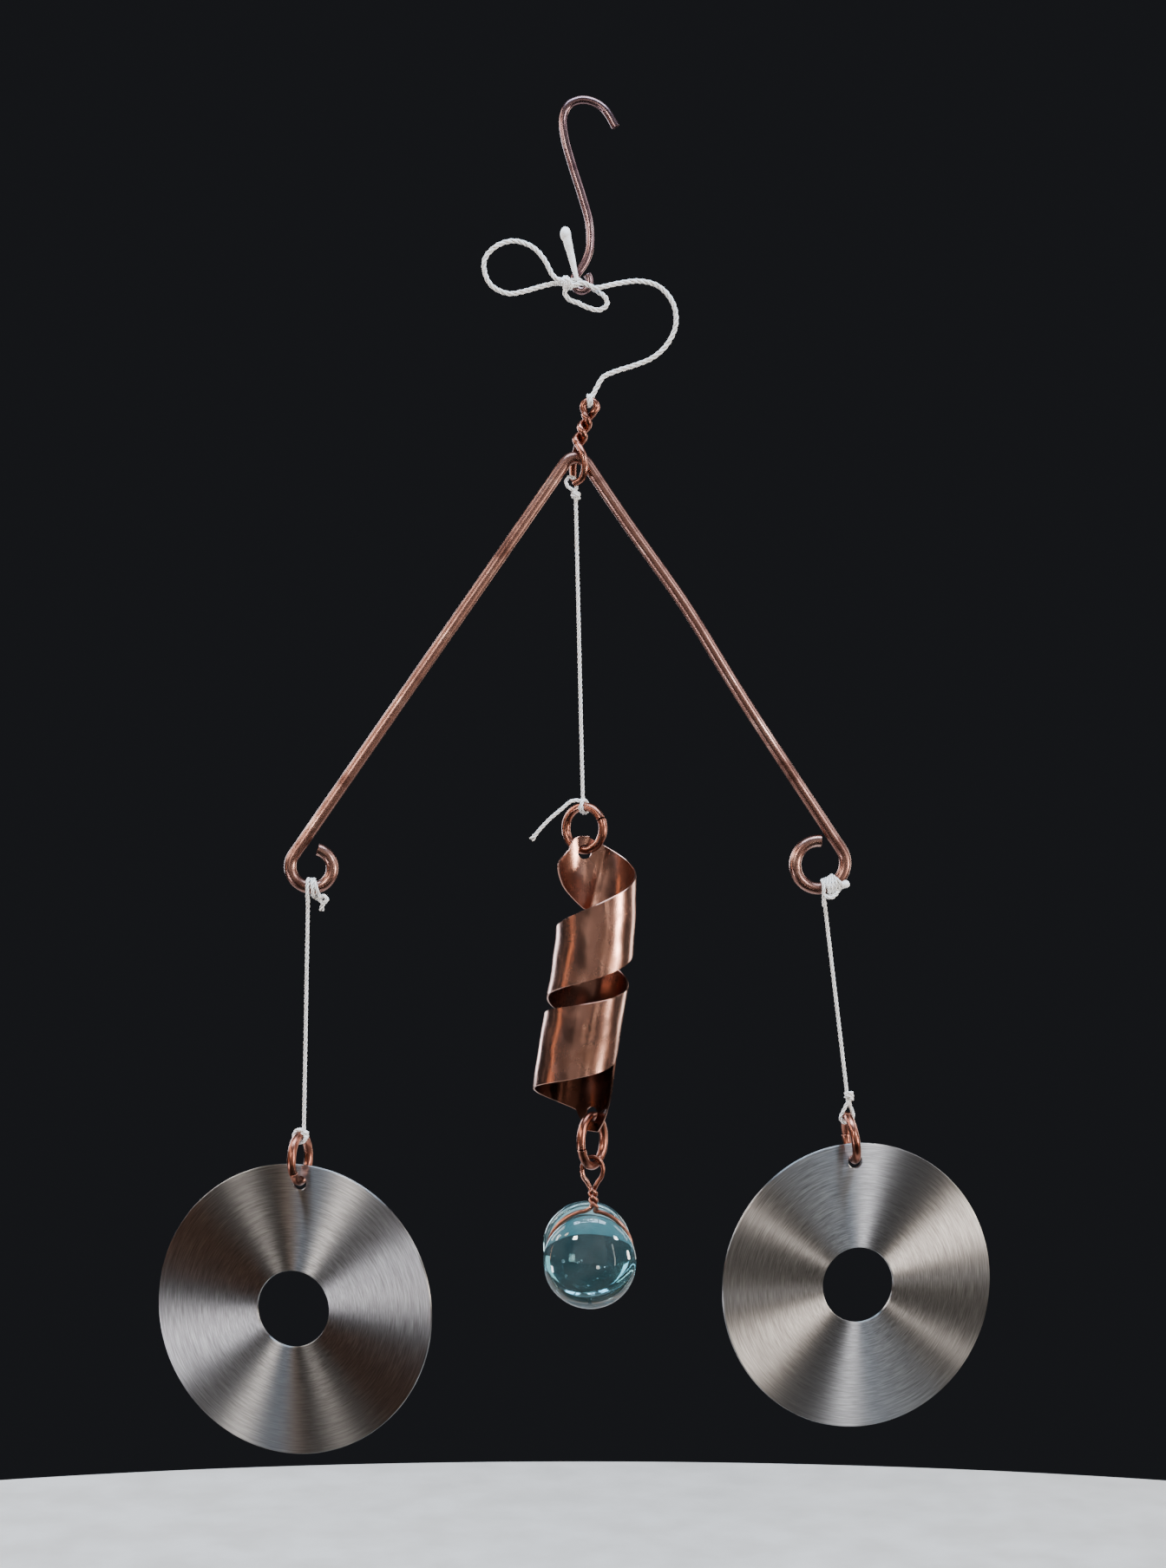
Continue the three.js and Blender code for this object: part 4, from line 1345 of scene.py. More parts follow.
@dataclass(frozen=True)
class DiscHanging:
    """One disc with its ring, and the cord that ties the ring to the arm's curl."""

    side: Side
    ring: WireRing
    disc: BrushedDisc
    wraps: CurlWraps
    cord_top: Row
    knot_offset: Row
    knot: Winding
    # Where the knot's turns lie from its middle, and the loop of cord under it.
    knot_lift: Row = (0.0, 0.0, 0.0)
    ring_loop: Rows = ()
    # The turns on the ring where there is no loop, and how far they spread, in cord diameters.
    ring_turns: float = 2.0
    ring_spread: float = 0.55

    def knot_centre(self) -> np.ndarray:
        """The middle of the knot on the ring."""
        return self.ring.top() + np.array(self.knot_offset)

    def wrap_line(self, arms: ArmWire) -> np.ndarray:
        """The cord's line round the arm's curl.

        Args:
            arms: The arm wire.

        Returns:
            Points of the turns.
        """
        arm = arms.left if self.side is Side.LEFT else arms.right
        steps = 200
        reach = (ARM_WIRE + HANGING_CORD) / 2
        depth = np.array([-math.sin(arms.yaw), math.cos(arms.yaw), 0.0])
        turns = np.radians(np.linspace(*self.wraps.angles, steps + 1))
        windings = math.tau * np.linspace(*self.wraps.windings, steps + 1)
        rows = []
        for turn, winding in zip(turns, windings):
            outward = arms.in_plane(math.cos(turn), math.sin(turn))
            middle = arms.in_plane(*arms.on_curl(arm, turn))
            rows.append(middle + reach * (math.cos(winding) * outward - math.sin(winding) * depth))
        return even_points(np.array(rows), CORD_SPACING)

    def curl_tie(self, arms: ArmWire) -> Object:
        """Makes the tie on the arm's curl.

        Args:
            arms: The arm wire.

        Returns:
            The turns with their lead and the strands that leave them.
        """
        name = self.side.name.lower()
        turns = self.wrap_line(arms)
        first, *others = self.wraps.strands
        plan = twisted_cord(turns, HANGING_CORD)
        plan.join(cord_through(self.wraps.lead, HANGING_CORD))
        plan.join(cord_through([tuple(turns[-1]), *first], HANGING_CORD, self.wraps.fray))
        for rows in others:
            plan.join(cord_through(rows, HANGING_CORD))
        if self.wraps.bead:
            plan.join(melted_bead(self.wraps.bead))
        return CORD_NYLON.dress(plan.to_object(f"{name}_curl_turns"), f"{name}_cord_curl_wraps")

    def ring_tie(self) -> Object:
        """Makes the tie on the ring.

        Returns:
            The knot with the cord's turns or loop under it.
        """
        name = self.side.name.lower()
        plan = self.knot.cord(self.knot_centre() + np.array(self.knot_lift), HANGING_CORD)
        if self.ring_loop:
            plan.join(cord_through(self.ring_loop, HANGING_CORD))
        else:
            plan.join(self.ring.cord_turns(self.ring_spread, self.ring_turns))
        return CORD_NYLON.dress(plan.to_object(f"{name}_ring_knot"), f"{name}_cord_ring_knot")

    def build(self, arms: ArmWire) -> list[Object]:
        """Makes the ring, the disc, the cord and its ties.

        Args:
            arms: The arm wire.

        Returns:
            The pieces.
        """
        name = self.side.name.lower()
        pieces = [*self.ring.build(), *self.disc.build(self.ring)]
        ties = [self.curl_tie(arms), self.ring_tie()]
        line = even_points(np.array([self.cord_top, tuple(self.knot_centre())]), CORD_SPACING)
        cord = twisted_cord(line, HANGING_CORD).to_object(f"{name}_hanging_cord")
        CORD_NYLON.dress(cord, f"{name}_cord")
        declare_cord(cord, line, Lay.TAUT, FarEnd.OBJECT)
        return [*pieces, *ties, cord]


@dataclass(frozen=True)
class CopperSpiral:
    """The copper strip, wound into a spiral with a holed tab at each end, and its two rings."""

    radius: float = 0.0126
    thickness: float = 0.0006
    half_height: float = 0.01225
    edge: float = 0.00012
    angles: Pair = (178.0, -722.0)
    columns: int = 520
    rows: int = 22
    axis_rows: Rows = (
        (0.0060, -0.0119, -0.238), (0.0059, -0.0119, -0.258), (0.0052, -0.0119, -0.278),
        (0.0005, -0.0119, -0.308), (-0.0021, -0.0119, -0.326), (-0.0054, -0.0119, -0.352),
    )
    middle_height: float = -0.2761
    start: float = -0.0089
    pitch: float = 0.0394
    tightening: float = 0.00487
    top_tab: Pair = (109.0, -0.0279)
    bottom_tab: Pair = (-668.0, 0.0585)
    hole_radius: float = 0.0024
    drill_reach: float = 0.003
    # Half sizes, and turn about the upright and joint, of the rings in the two tabs.
    top_ring: Pair = (0.0072, 0.0072)
    top_ring_turns: Pair = (math.radians(-32), math.radians(25))
    bottom_ring: Pair = (0.0067, 0.0082)
    bottom_ring_turns: Pair = (math.radians(56), math.radians(195))
    dent_size: float = 0.0085
    dent_depth: float = 0.00028
    # A fold across the top end: turn angles at its upper and lower ends, drops there, half width and depth.
    crease_angles: Pair = (73.0, 99.0)
    crease_drops: Pair = (-0.033, -0.009)
    crease_half_width: float = 10.0
    crease_depth: float = 0.0005
    # Trimmed ends: turn angle in degrees and drop along the axis.
    top_upper_trim: tuple[Pair, ...] = (
        (178, -0.0236), (150, -0.0270), (137, -0.0289),
        (127, -0.0324), (117, -0.0332), (100, -0.0331),
    )
    top_lower_trim: tuple[Pair, ...] = ((178, -0.0230), (150, -0.0165), (110, -0.0090))
    bottom_lower_trim: tuple[Pair, ...] = (
        (-640, 0.0580), (-647, 0.0604), (-663, 0.0643),
        (-685, 0.0639), (-696, 0.0603), (-705, 0.0563),
        (-715, 0.0510), (-722, 0.0446),
    )

    @cached_property
    def axis(self) -> np.ndarray:
        """Close, even points of the spiral's axis."""
        close = 0.00025
        return smooth_route(self.axis_rows, close)

    def on_strip(self, angle: float, drop: float, outward: float = 0.0) -> np.ndarray:
        """A point of the strip.

        Args:
            angle: The turn angle in degrees.
            drop: The distance down the axis from the strip's middle height.
            outward: The distance out from the middle of the strip's thickness.

        Returns:
            The point.
        """
        nearby = 4
        axis = self.axis
        share = (drop + self.axis_rows[0][2] - self.middle_height) / line_length(axis)
        place = min(max(share, 0.0), 1.0) * (len(axis) - 1)
        index = min(int(place), len(axis) - 2)
        middle = axis[index] + (axis[index + 1] - axis[index]) * (place - index)
        down = axis[min(index + nearby, len(axis) - 1)] - axis[max(index - nearby, 0)]
        down = down / np.linalg.norm(down)
        right = np.array([-down[2], 0.0, down[0]])
        turn = math.radians(angle)
        reach = self.radius + outward
        return middle + reach * math.cos(turn) * right + np.array([0.0, reach * math.sin(turn), 0.0])

    def edges(self, angle: float) -> Pair:
        """Finds the strip's edges.

        Args:
            angle: The turn angle in degrees.

        Returns:
            Drops of the upper and the lower edge.
        """
        turns = -angle / 360
        centre = self.start + self.pitch * turns - self.tightening * turns * turns
        upper, lower = centre - self.half_height, centre + self.half_height
        if angle > self.top_upper_trim[-1][0]:
            upper = along_trim(self.top_upper_trim, angle)
        if angle > self.top_lower_trim[-1][0]:
            lower = along_trim(self.top_lower_trim, angle)
        elif angle < self.bottom_lower_trim[0][0]:
            lower = along_trim(self.bottom_lower_trim, angle)
        return upper, lower

    def section(self, angle: float) -> list[np.ndarray]:
        """Draws one closed section across the strip.

        Args:
            angle: The turn angle in degrees.

        Returns:
            Points down the outer face and up the inner one.
        """
        upper, lower = self.edges(angle)
        half = self.thickness / 2
        inset = min(self.edge, (lower - upper) / 4)
        drops = np.linspace(upper + inset, lower - inset, self.rows)
        dents = []
        for drop in drops:
            spot = Vector(self.on_strip(angle, drop)) / self.dent_size
            fold = np.interp(drop, self.crease_drops, self.crease_angles)
            crease = max(0.0, 1 - abs(angle - fold) / self.crease_half_width)
            dents.append(self.dent_depth * noise.noise(spot) + self.crease_depth * crease)
        outer = [self.on_strip(angle, drop, dent + half) for drop, dent in zip(drops, dents)]
        inner = [self.on_strip(angle, drop, dent - half) for drop, dent in zip(drops, dents)]
        soft = half - inset
        low = [self.on_strip(angle, lower, dents[-1] + side) for side in (soft, -soft)]
        high = [self.on_strip(angle, upper, dents[0] + side) for side in (-soft, soft)]
        return [*outer, *low, *reversed(inner), *high]

    def tab_drill(self, angle: float, drop: float) -> Object:
        """A round drill through a tab.

        Args:
            angle: The tab's turn angle.
            drop: The tab's drop.

        Returns:
            The drill.
        """
        drill_sides = 40
        inside = self.on_strip(angle, drop, -self.drill_reach)
        outside = self.on_strip(angle, drop, self.drill_reach)
        line = even_points(np.array([inside, outside]), self.drill_reach / 2)
        return tube(line, self.hole_radius, drill_sides).to_object("tab_drill")

    def rings(self) -> tuple[WireRing, WireRing]:
        """Places the rings in the tabs, one going up and one hanging down.

        Returns:
            The upper and the lower ring.
        """
        seat = self.hole_radius - GAP - RING_WIRE / 2
        rise = np.array([0.0, 0.0, seat + self.top_ring[1]])
        fall = np.array([0.0, 0.0, seat + self.bottom_ring[1]])
        high = tuple(self.on_strip(*self.top_tab) + rise)
        low = tuple(self.on_strip(*self.bottom_tab) - fall)
        upper = WireRing("spiral_top_ring", "spiral_ring", self.top_ring, high, *self.top_ring_turns)
        lower = WireRing("glass_ring", "glass_link_ring", self.bottom_ring, low, *self.bottom_ring_turns)
        return upper, lower

    def build(self) -> list[Object]:
        """Makes the strip with its holes, and the two rings.

        Returns:
            The strip and the rings.
        """
        angles = np.linspace(*self.angles, self.columns)
        grid = np.array([self.section(angle) for angle in angles])
        travel = np.radians(self.angles[0] - angles) * self.radius
        middle = grid[len(grid) // 2]
        around = travelled(np.vstack([middle, middle[:1]]))
        strip = MeshPlan.from_grid(grid, around, travel).to_object("spiral_strip")
        drills = [self.tab_drill(*tab) for tab in (self.top_tab, self.bottom_tab)]
        STRIP_COPPER.dress(drilled(strip, drills), "copper_spiral")
        return [strip, *(piece for ring in self.rings() for piece in ring.build())]


def along_trim(trim: Sequence[Pair], angle: float) -> float:
    """The drop of a trimmed edge at a turn angle, for a trim whose angles run downwards."""
    turns = [-turn for turn, _ in trim]
    return float(np.interp(-angle, turns, [drop for _, drop in trim]))


@dataclass(frozen=True)
class GlassGem:
    """A glass pebble: domed on one side and flat on the other."""

    name: str
    node: str
    x: float
    z: float
    radius: float
    height: float
    direction: int
    flat_share: float = 0.88
    edge_share: float = 0.3
    sides: int = 112
    rim_steps: int = 12
    dome_steps: int = 30
    unevenness: float = 0.008
    unevenness_scale: float = 1.3
    # Rings on the flat, and the last one at the dome's top, as shares of the flat and of the gem.
    flat_rings: tuple[float, ...] = (0.02, 0.5, 0.9)
    top_ring: float = 0.01

    def profile(self) -> list[Pair]:
        """Draws the gem's outline from the flat's middle to the dome's top.

        Returns:
            Distances from the middle and heights over the flat.
        """
        flat = self.radius * self.flat_share
        edge = self.height * self.edge_share
        rows = [(flat * share, 0.0) for share in self.flat_rings]
        for step in range(self.rim_steps + 1):
            turn = step / self.rim_steps * math.pi / 2
            rows.append((flat + (self.radius - flat) * math.sin(turn), edge * (1 - math.cos(turn))))
        for step in range(1, self.dome_steps):
            turn = step / self.dome_steps * math.pi / 2
            rows.append((self.radius * math.cos(turn), edge + (self.height - edge) * math.sin(turn)))
        return [*rows, (self.radius * self.top_ring, self.height)]

    def build(self, depth: float) -> list[Object]:
        """Makes the gem.

        Args:
            depth: Where the flat lies along Y.

        Returns:
            The gem.
        """
        turns = np.linspace(0.0, math.tau, self.sides, endpoint=False)
        grid = []
        for distance, height in self.profile():
            ring = []
            for turn in turns * -self.direction:
                spot = Vector((math.cos(turn), self.direction + height / self.height, math.sin(turn)))
                reach = distance * (1 + self.unevenness * noise.noise(spot * self.unevenness_scale))
                x = self.x + reach * math.cos(turn)
                ring.append((x, depth + self.direction * height, self.z + reach * math.sin(turn)))
            grid.append(ring)
        around = np.linspace(0.0, math.tau * self.radius, self.sides + 1)
        along = np.linspace(0.0, self.radius, len(grid))
        gem = MeshPlan.from_grid(np.array(grid), around, along).to_object(self.name)
        return [GEM_GLASS.dress(gem, self.node)]


@dataclass(frozen=True)
class Bubble:
    """A bubble of air in the glass: its middle and its radius."""

    centre: Row
    radius: float


@dataclass(frozen=True)
class GlassDrop:
    """Two glass gems back to back on a thin wire, which goes round between them and up to a loop."""

    depth: float = -0.0020
    front: GlassGem = GlassGem("front_gem", "front_glass_gem", 0.0037, -0.3832, 0.0154, 0.0096, -1)
    back: GlassGem = GlassGem("back_gem", "back_glass_gem", 0.0028, -0.3790, 0.0147, 0.0088, 1)
    round_middle: Pair = (0.0037, -0.3809)
    round_radius: float = 0.0139
    round_ends: Pair = (0.12, 0.03)
    loop_half_width: float = 0.00345
    loop_bottom: float = -0.3592
    loop_clearance: float = 0.0007
    loop_turns: Pair = (235.0, -55.0)
    twist_turn: float = math.radians(540)
    twist_foot: Row = (0.0014, 0.00075, 0.0012)
    strand_space: float = 0.00032
    twist_steps: int = 30
    loop_steps: int = 20
    round_steps: int = 24
    bubbles: tuple[Bubble, ...] = (
        Bubble((0.0000, -0.0066, -0.3828), 0.00042),
        Bubble((0.0012, -0.0071, -0.3823), 0.00033),
        Bubble((-0.0046, -0.0062, -0.3826), 0.00047),
        Bubble((-0.0074, -0.0056, -0.3811), 0.0003),
        Bubble((-0.0037, -0.0064, -0.3871), 0.00036),
        Bubble((0.0061, -0.0060, -0.3879), 0.00026),
        Bubble((0.0083, -0.0053, -0.3845), 0.00031),
        Bubble((0.0032, -0.0055, -0.3903), 0.00024),
    )

    def half_round(self, side: Side) -> np.ndarray:
        """Draws half of the wire's round between the gems.

        Args:
            side: The side that the half goes by.

        Returns:
            Points from the top down.
        """
        x, z = self.round_middle
        swings = np.linspace(self.round_ends[0], math.pi - self.round_ends[1], self.round_steps + 1)
        turns = math.pi / 2 - side.value * swings
        return oval_arc((x, self.depth, z), (self.round_radius, self.round_radius), turns)

    def bail_line(self, ring: WireRing) -> np.ndarray:
        """The wire's line.

        Args:
            ring: The ring that the loop hangs on.

        Returns:
            Points from the round's one end, up, round the loop and down to its other end.
        """
        ring_x, _, ring_z = ring.bottom()
        right, forward, rise = self.twist_foot
        loop_top = ring_z + (RING_WIRE + BAIL_WIRE) / 2 + self.loop_clearance
        half = (loop_top - self.loop_bottom - rise) / 2
        turns = np.radians(np.linspace(*self.loop_turns, self.loop_steps + 1))
        loop = oval_arc((ring_x, self.depth, loop_top - half), (self.loop_half_width, half), turns)
        x, z = self.round_middle
        top = (ring_x, self.depth, self.loop_bottom)
        foot = (x + right, self.depth - forward, z + self.round_radius + rise)
        radius = (BAIL_WIRE + self.strand_space) / 2
        halves = []
        # After one and a half turns each strand comes out on the other side.
        for phase, side in ((math.pi, Side.RIGHT), (0.0, Side.LEFT)):
            strand = twist_strand(top, foot, radius, self.twist_turn, phase, self.twist_steps)
            halves.append(np.vstack([strand, self.half_round(side)]))
        return smooth_route(np.vstack([halves[0][::-1], loop, halves[1]]), WIRE_SPACING)

    def bubble_piece(self) -> Object:
        """Makes the bubbles, slightly long spheres whose skin faces inwards because they hold air.

        Returns:
            The bubbles as one piece.
        """
        stretch = 1.18
        detail = 3
        mesh = bmesh.new()
        for bubble in self.bubbles:
            shape = Matrix.Translation(bubble.centre) @ Matrix.Diagonal((1.0, 1.0, stretch, 1.0))
            bmesh.ops.create_icosphere(mesh, subdivisions=detail, radius=bubble.radius, matrix=shape)
        bmesh.ops.reverse_faces(mesh, faces=mesh.faces)
        made = bpy.data.meshes.new("gem_bubbles")
        mesh.to_mesh(made)
        mesh.free()
        return GEM_GLASS.dress(add_object("gem_bubbles", made))

    def build(self, ring: WireRing) -> list[Object]:
        """Makes the gems, the bubbles and the wire.

        Args:
            ring: The ring that the drop hangs on.

        Returns:
            The pieces.
        """
        bail_sides = 14
        half_space = BAIL_WIRE / 2 + GAP / 4
        wire = copper_wire(self.bail_line(ring), BAIL_WIRE, bail_sides).to_object("bail")
        RING_COPPER.dress(wire, "glass_bail")
        gems = [*self.front.build(self.depth - half_space), *self.back.build(self.depth + half_space)]
        return [*gems, self.bubble_piece(), wire]


@dataclass(frozen=True)
class SuspensionCord:
    """The cord from the hook's eye to the hanger.

    At the eye it is tied in a bow with one long loop, a small loop and a fused tail, and from there it runs
    down slack.
    """

    # The bow's knot: its middle, the turns round the loops' roots and the one that is drawn across them.
    knot: Row = (-0.0039, -0.0026, -0.0598)
    root_turns: Winding = Winding((0.001224, 0.0, 0.0), (1.0, 0.0, 0.25), 0.001615, (0.0, 2.6))
    cross_turn: Winding = Winding((0.0, 0.0, 0.00051), (0.35, 0.0, 1.0), 0.0017765, (0.1, 1.1))
    # The tie on the hanger's eye, by the cord's drawn-thin end.
    hanger_tie: Row = (0.0037, 0.0, -0.0984)
    hanger_cord: float = 0.0013
    hanger_turns: Winding = Winding((0.00052, 0.0, 0.0), (1.0, 0.0, 0.0), 0.0018, (-0.2, 1.15))
    tail_end: Bead = Bead((-0.0043, -0.0022, -0.0436), (0.0018, 0.0017, 0.0025))
    # The fused tail's half thickness at its root, where it has swollen, and at its end, and its unevenness.
    tail_radii: tuple[float, float, float] = (0.00068, 0.00115, 0.00165)
    tail_unevenness: float = 0.07
    tail_bump_length: float = 0.0016
    tail_sides: int = 18
    run: Rows = (
        (-0.0039, -0.0027, -0.0606), (-0.0014, -0.0032, -0.0607), (0.0012, -0.0031, -0.0599),
        (0.0033, -0.0029, -0.0606), (0.0052, -0.0024, -0.0614), (0.0086, -0.0019, -0.0608),
        (0.0127, -0.0015, -0.0598), (0.0202, -0.0012, -0.0589), (0.0265, -0.0010, -0.0606),
        (0.0308, -0.0008, -0.0652), (0.0323, -0.0006, -0.0704), (0.0317, -0.0005, -0.0753),
        (0.0285, -0.0004, -0.0808), (0.0239, -0.0003, -0.0845), (0.0181, -0.0002, -0.0868),
        (0.0115, -0.0001, -0.0889), (0.0081, 0.0, -0.0906), (0.0060, 0.0, -0.0940),
        (0.0042, 0.0, -0.0976),
    )
    bow_loop: Rows = (
        (-0.0039, -0.0031, -0.0594), (-0.0078, -0.0033, -0.0582), (-0.0115, -0.0032, -0.0520),
        (-0.0153, -0.0030, -0.0480), (-0.0216, -0.0026, -0.0459), (-0.0274, -0.0024, -0.0477),
        (-0.0311, -0.0023, -0.0520), (-0.0308, -0.0022, -0.0572), (-0.0285, -0.0021, -0.0609),
        (-0.0233, -0.0020, -0.0632), (-0.0179, -0.0019, -0.0624), (-0.0127, -0.0018, -0.0609),
        (-0.0078, -0.0017, -0.0598), (-0.0039, -0.0020, -0.0600),
    )
    small_loop: Rows = (
        (-0.0042, -0.0026, -0.0606), (-0.0045, -0.0026, -0.0634), (-0.0029, -0.0025, -0.0654),
        (-0.0001, -0.0023, -0.0664), (0.0021, -0.0021, -0.0675), (0.0068, -0.0014, -0.0685),
        (0.0094, -0.0006, -0.0666), (0.0088, 0.0004, -0.0639), (0.0065, 0.0017, -0.0619),
        (0.0044, 0.0024, -0.0605), (0.0026, 0.0022, -0.0596), (0.0011, 0.0009, -0.0590),
        (0.0001, -0.0013, -0.0587), (-0.0016, -0.0021, -0.0589), (-0.0039, -0.0026, -0.0594),
    )
    tail: Rows = (
        (-0.0005, -0.0028, -0.0588), (-0.0014, -0.0028, -0.0555), (-0.0023, -0.0026, -0.0515),
        (-0.0033, -0.0024, -0.0475), (-0.0042, -0.0022, -0.0436),
    )

    def strand_piece(self, name: str, node: str, rows: Sequence[Row]) -> tuple[Object, np.ndarray]:
        """Makes one free stretch of the cord.

        Args:
            name: The piece's name.
            node: The solid that it stands for.
            rows: The points that it goes through.

        Returns:
            The piece and its centreline.
        """
        line = smooth_route(rows, CORD_SPACING)
        piece = twisted_cord(line, SUSPENSION_CORD).to_object(name)
        return CORD_NYLON.dress(piece, node), line

    def bow_knot(self) -> Object:
        """Makes the bow's knot.

        Returns:
            The turns round the loops' roots and the one drawn across them.
        """
        plan = self.root_turns.cord(self.knot, SUSPENSION_CORD)
        plan.join(self.cross_turn.cord(self.knot, SUSPENSION_CORD))
        return CORD_NYLON.dress(plan.to_object("bow_knot"), "suspension_cord_knot")

    def tail_piece(self) -> Object:
        """Makes the free tail, fused by heat and melted into a bead at its end.

        Returns:
            The tail.
        """
        line = smooth_route(self.tail, CORD_SPACING)
        shares = np.linspace(0.0, 1.0, len(line))
        radii = np.interp(shares, (0.0, 0.5, 1.0), self.tail_radii)
        bumps = np.array([noise.noise(Vector(point) / self.tail_bump_length) for point in line])
        plan = tube(line, radii * (1 + self.tail_unevenness * bumps), self.tail_sides)
        plan.join(melted_bead(self.tail_end))
        # Fused cord has no hollows between strands, so its pattern runs along it only, with no painted shade.
        plan.places = [(0.0, along) for _, along in plan.places]
        return CORD_NYLON.dress(plan.to_object("bow_tail"), "suspension_cord_tail")

    def hanger_piece(self) -> Object:
        """The turn of the cord's thin end round the top of the hanger's eye."""
        plan = self.hanger_turns.cord(self.hanger_tie, self.hanger_cord)
        return CORD_NYLON.dress(plan.to_object("hanger_eye_turns"), "suspension_cord_hanger_tie")

    def build(self) -> list[Object]:
        """Makes the bow, the run and the tie on the hanger.

        Returns:
            The pieces.
        """
        run, run_line = self.strand_piece("slack_run", "suspension_cord_run", self.run)
        loop, loop_line = self.strand_piece("bow_loop", "suspension_cord_bow_loop", self.bow_loop)
        small, small_line = self.strand_piece("small_bow_loop", "suspension_cord_small_loop", self.small_loop)
        extra = [self.bow_knot(), self.tail_piece(), self.hanger_piece()]
        declare_cord(run, run_line, Lay.LOOSE, FarEnd.OBJECT)
        declare_cord(loop, loop_line, Lay.LOOSE, FarEnd.KNOT)
        declare_cord(small, small_line, Lay.LOOSE, FarEnd.KNOT)
        return [run, loop, small, *extra]


def melted_bead(bead: Bead) -> MeshPlan:
    """Makes a bead of molten cord that has set unevenly.

    Args:
        bead: Its middle and half sizes.

    Returns:
        The plan of the bead.
    """
    sides, rings = 28, 19
    pole = math.pi * 0.04
    unevenness, unevenness_scale = 0.09, 1.2
    grid = []
    for rise in np.linspace(pole, math.pi - pole, rings):
        row = []
        for turn in np.linspace(0.0, math.tau, sides, endpoint=False):
            spot = Vector((math.sin(rise) * math.cos(turn), math.sin(rise) * math.sin(turn), -math.cos(rise)))
            swell = 1 + unevenness * noise.noise(spot * unevenness_scale)
            row.append(np.array(bead.centre) + np.array(bead.radii) * swell * np.array(spot))
        grid.append(row)
    # Fused cord has no hollows between strands, so its pattern runs along it only, with no painted shade.
    return MeshPlan.from_grid(np.array(grid), np.zeros(sides + 1), np.linspace(0.0, 2 * bead.radii[2], rings))


@dataclass(frozen=True)
class CentreCord:
    """The cord from the hanger's loop to the spiral's ring, with a long free tail."""

    top: Row = (-0.0010, -0.0004, -0.1290)
    bottom: Row = (0.0014, 0.0, -0.2320)
    tail: Rows = (
        (0.0014, -0.0006, -0.2312), (-0.0023, -0.0012, -0.2313), (-0.0056, -0.0014, -0.2339),
        (-0.0092, -0.0015, -0.2369), (-0.0126, -0.0014, -0.2404), (-0.0156, -0.0012, -0.2441),
    )
    # The loop of the knot that goes through the hanger's end.
    hanger_loop: Rows = (
        (-0.0012, -0.0012, -0.1285), (-0.0034, -0.0014, -0.1272), (-0.0042, -0.0006, -0.1252),
        (-0.0030, 0.0004, -0.1236), (-0.0010, 0.0010, -0.1246), (-0.0008, 0.0008, -0.1272),
        (-0.0012, 0.0002, -0.1290),
    )
    # The middle of the turns under the hanger, and the turns.
    knot_middle: Row = (-0.0010, -0.0004, -0.1298)
    knot: Winding = Winding((0.0, 0.0, 0.0008), (0.15, 0.1, 1.0), 0.001066, (0.2, 2.4))
    # The turns on the ring, how far they spread, and how far the tail's end frays, both in diameters.
    ring_turns: float = 1.5
    ring_spread: float = 0.3
    tail_fray: float = 0.25

    def knot_piece(self) -> Object:
        """Makes the knot under the hanger.

        Returns:
            The loop through the hanger and the turns round the cord.
        """
        plan = cord_through(self.hanger_loop, HANGING_CORD)
        plan.join(self.knot.cord(self.knot_middle, HANGING_CORD))
        return CORD_NYLON.dress(plan.to_object("hanger_knot"), "centre_cord_hanger_knot")

    def ring_tie(self, ring: WireRing) -> Object:
        """The turns of the cord round the top of the spiral's ring."""
        plan = ring.cord_turns(self.ring_spread, self.ring_turns)
        return CORD_NYLON.dress(plan.to_object("spiral_ring_tie"), "centre_cord_ring_tie")

    def build(self, ring: WireRing) -> list[Object]:
        """Makes the cord, its two ties and its tail.

        Args:
            ring: The spiral's ring.

        Returns:
            The pieces.
        """
        extra = [self.knot_piece(), self.ring_tie(ring)]
        tail = cord_through(self.tail, HANGING_CORD, self.tail_fray).to_object("free_tail")
        extra.append(CORD_NYLON.dress(tail, "centre_cord_tail"))
        line = even_points(np.array([self.top, self.bottom]), CORD_SPACING)
        cord = twisted_cord(line, HANGING_CORD).to_object("middle_cord")
        CORD_NYLON.dress(cord, "centre_cord")
        declare_cord(cord, line, Lay.TAUT, FarEnd.OBJECT)
        return [cord, *extra]


@dataclass(frozen=True)
class PaintedFloor(Surface):
    """A floor of matt white paint with faint roller marks."""

    light: str = "#d9d7d2"
    shade: str = "#cbc8c2"
    # Where on the roller marks the shade and the light lie.
    tone_places: tuple[float, ...] = (0.35, 0.65)
    mark_size: float = 0.03
    roughness: float = 0.85

    def shader(self, tree: NodeTree) -> Node:
        """Builds the roller marks.

        Args:
            tree: The material's node tree.

        Returns:
            The surface shader.
        """
        place = add_node(tree, "TexCoord").outputs["Object"]
        grain = {"Scale": 1 / self.mark_size, "Detail": 3.0}
        marks = add_node(tree, "TexNoise", grain, {"Vector": place})
        tones = zip(self.tone_places, (self.shade, self.light))
        colour = add_node(tree, "ValToRGB", {"stops": tones}, {"Fac": marks})
        return add_node(tree, "BsdfPrincipled", {"Roughness": self.roughness}, {"Base Color": colour})


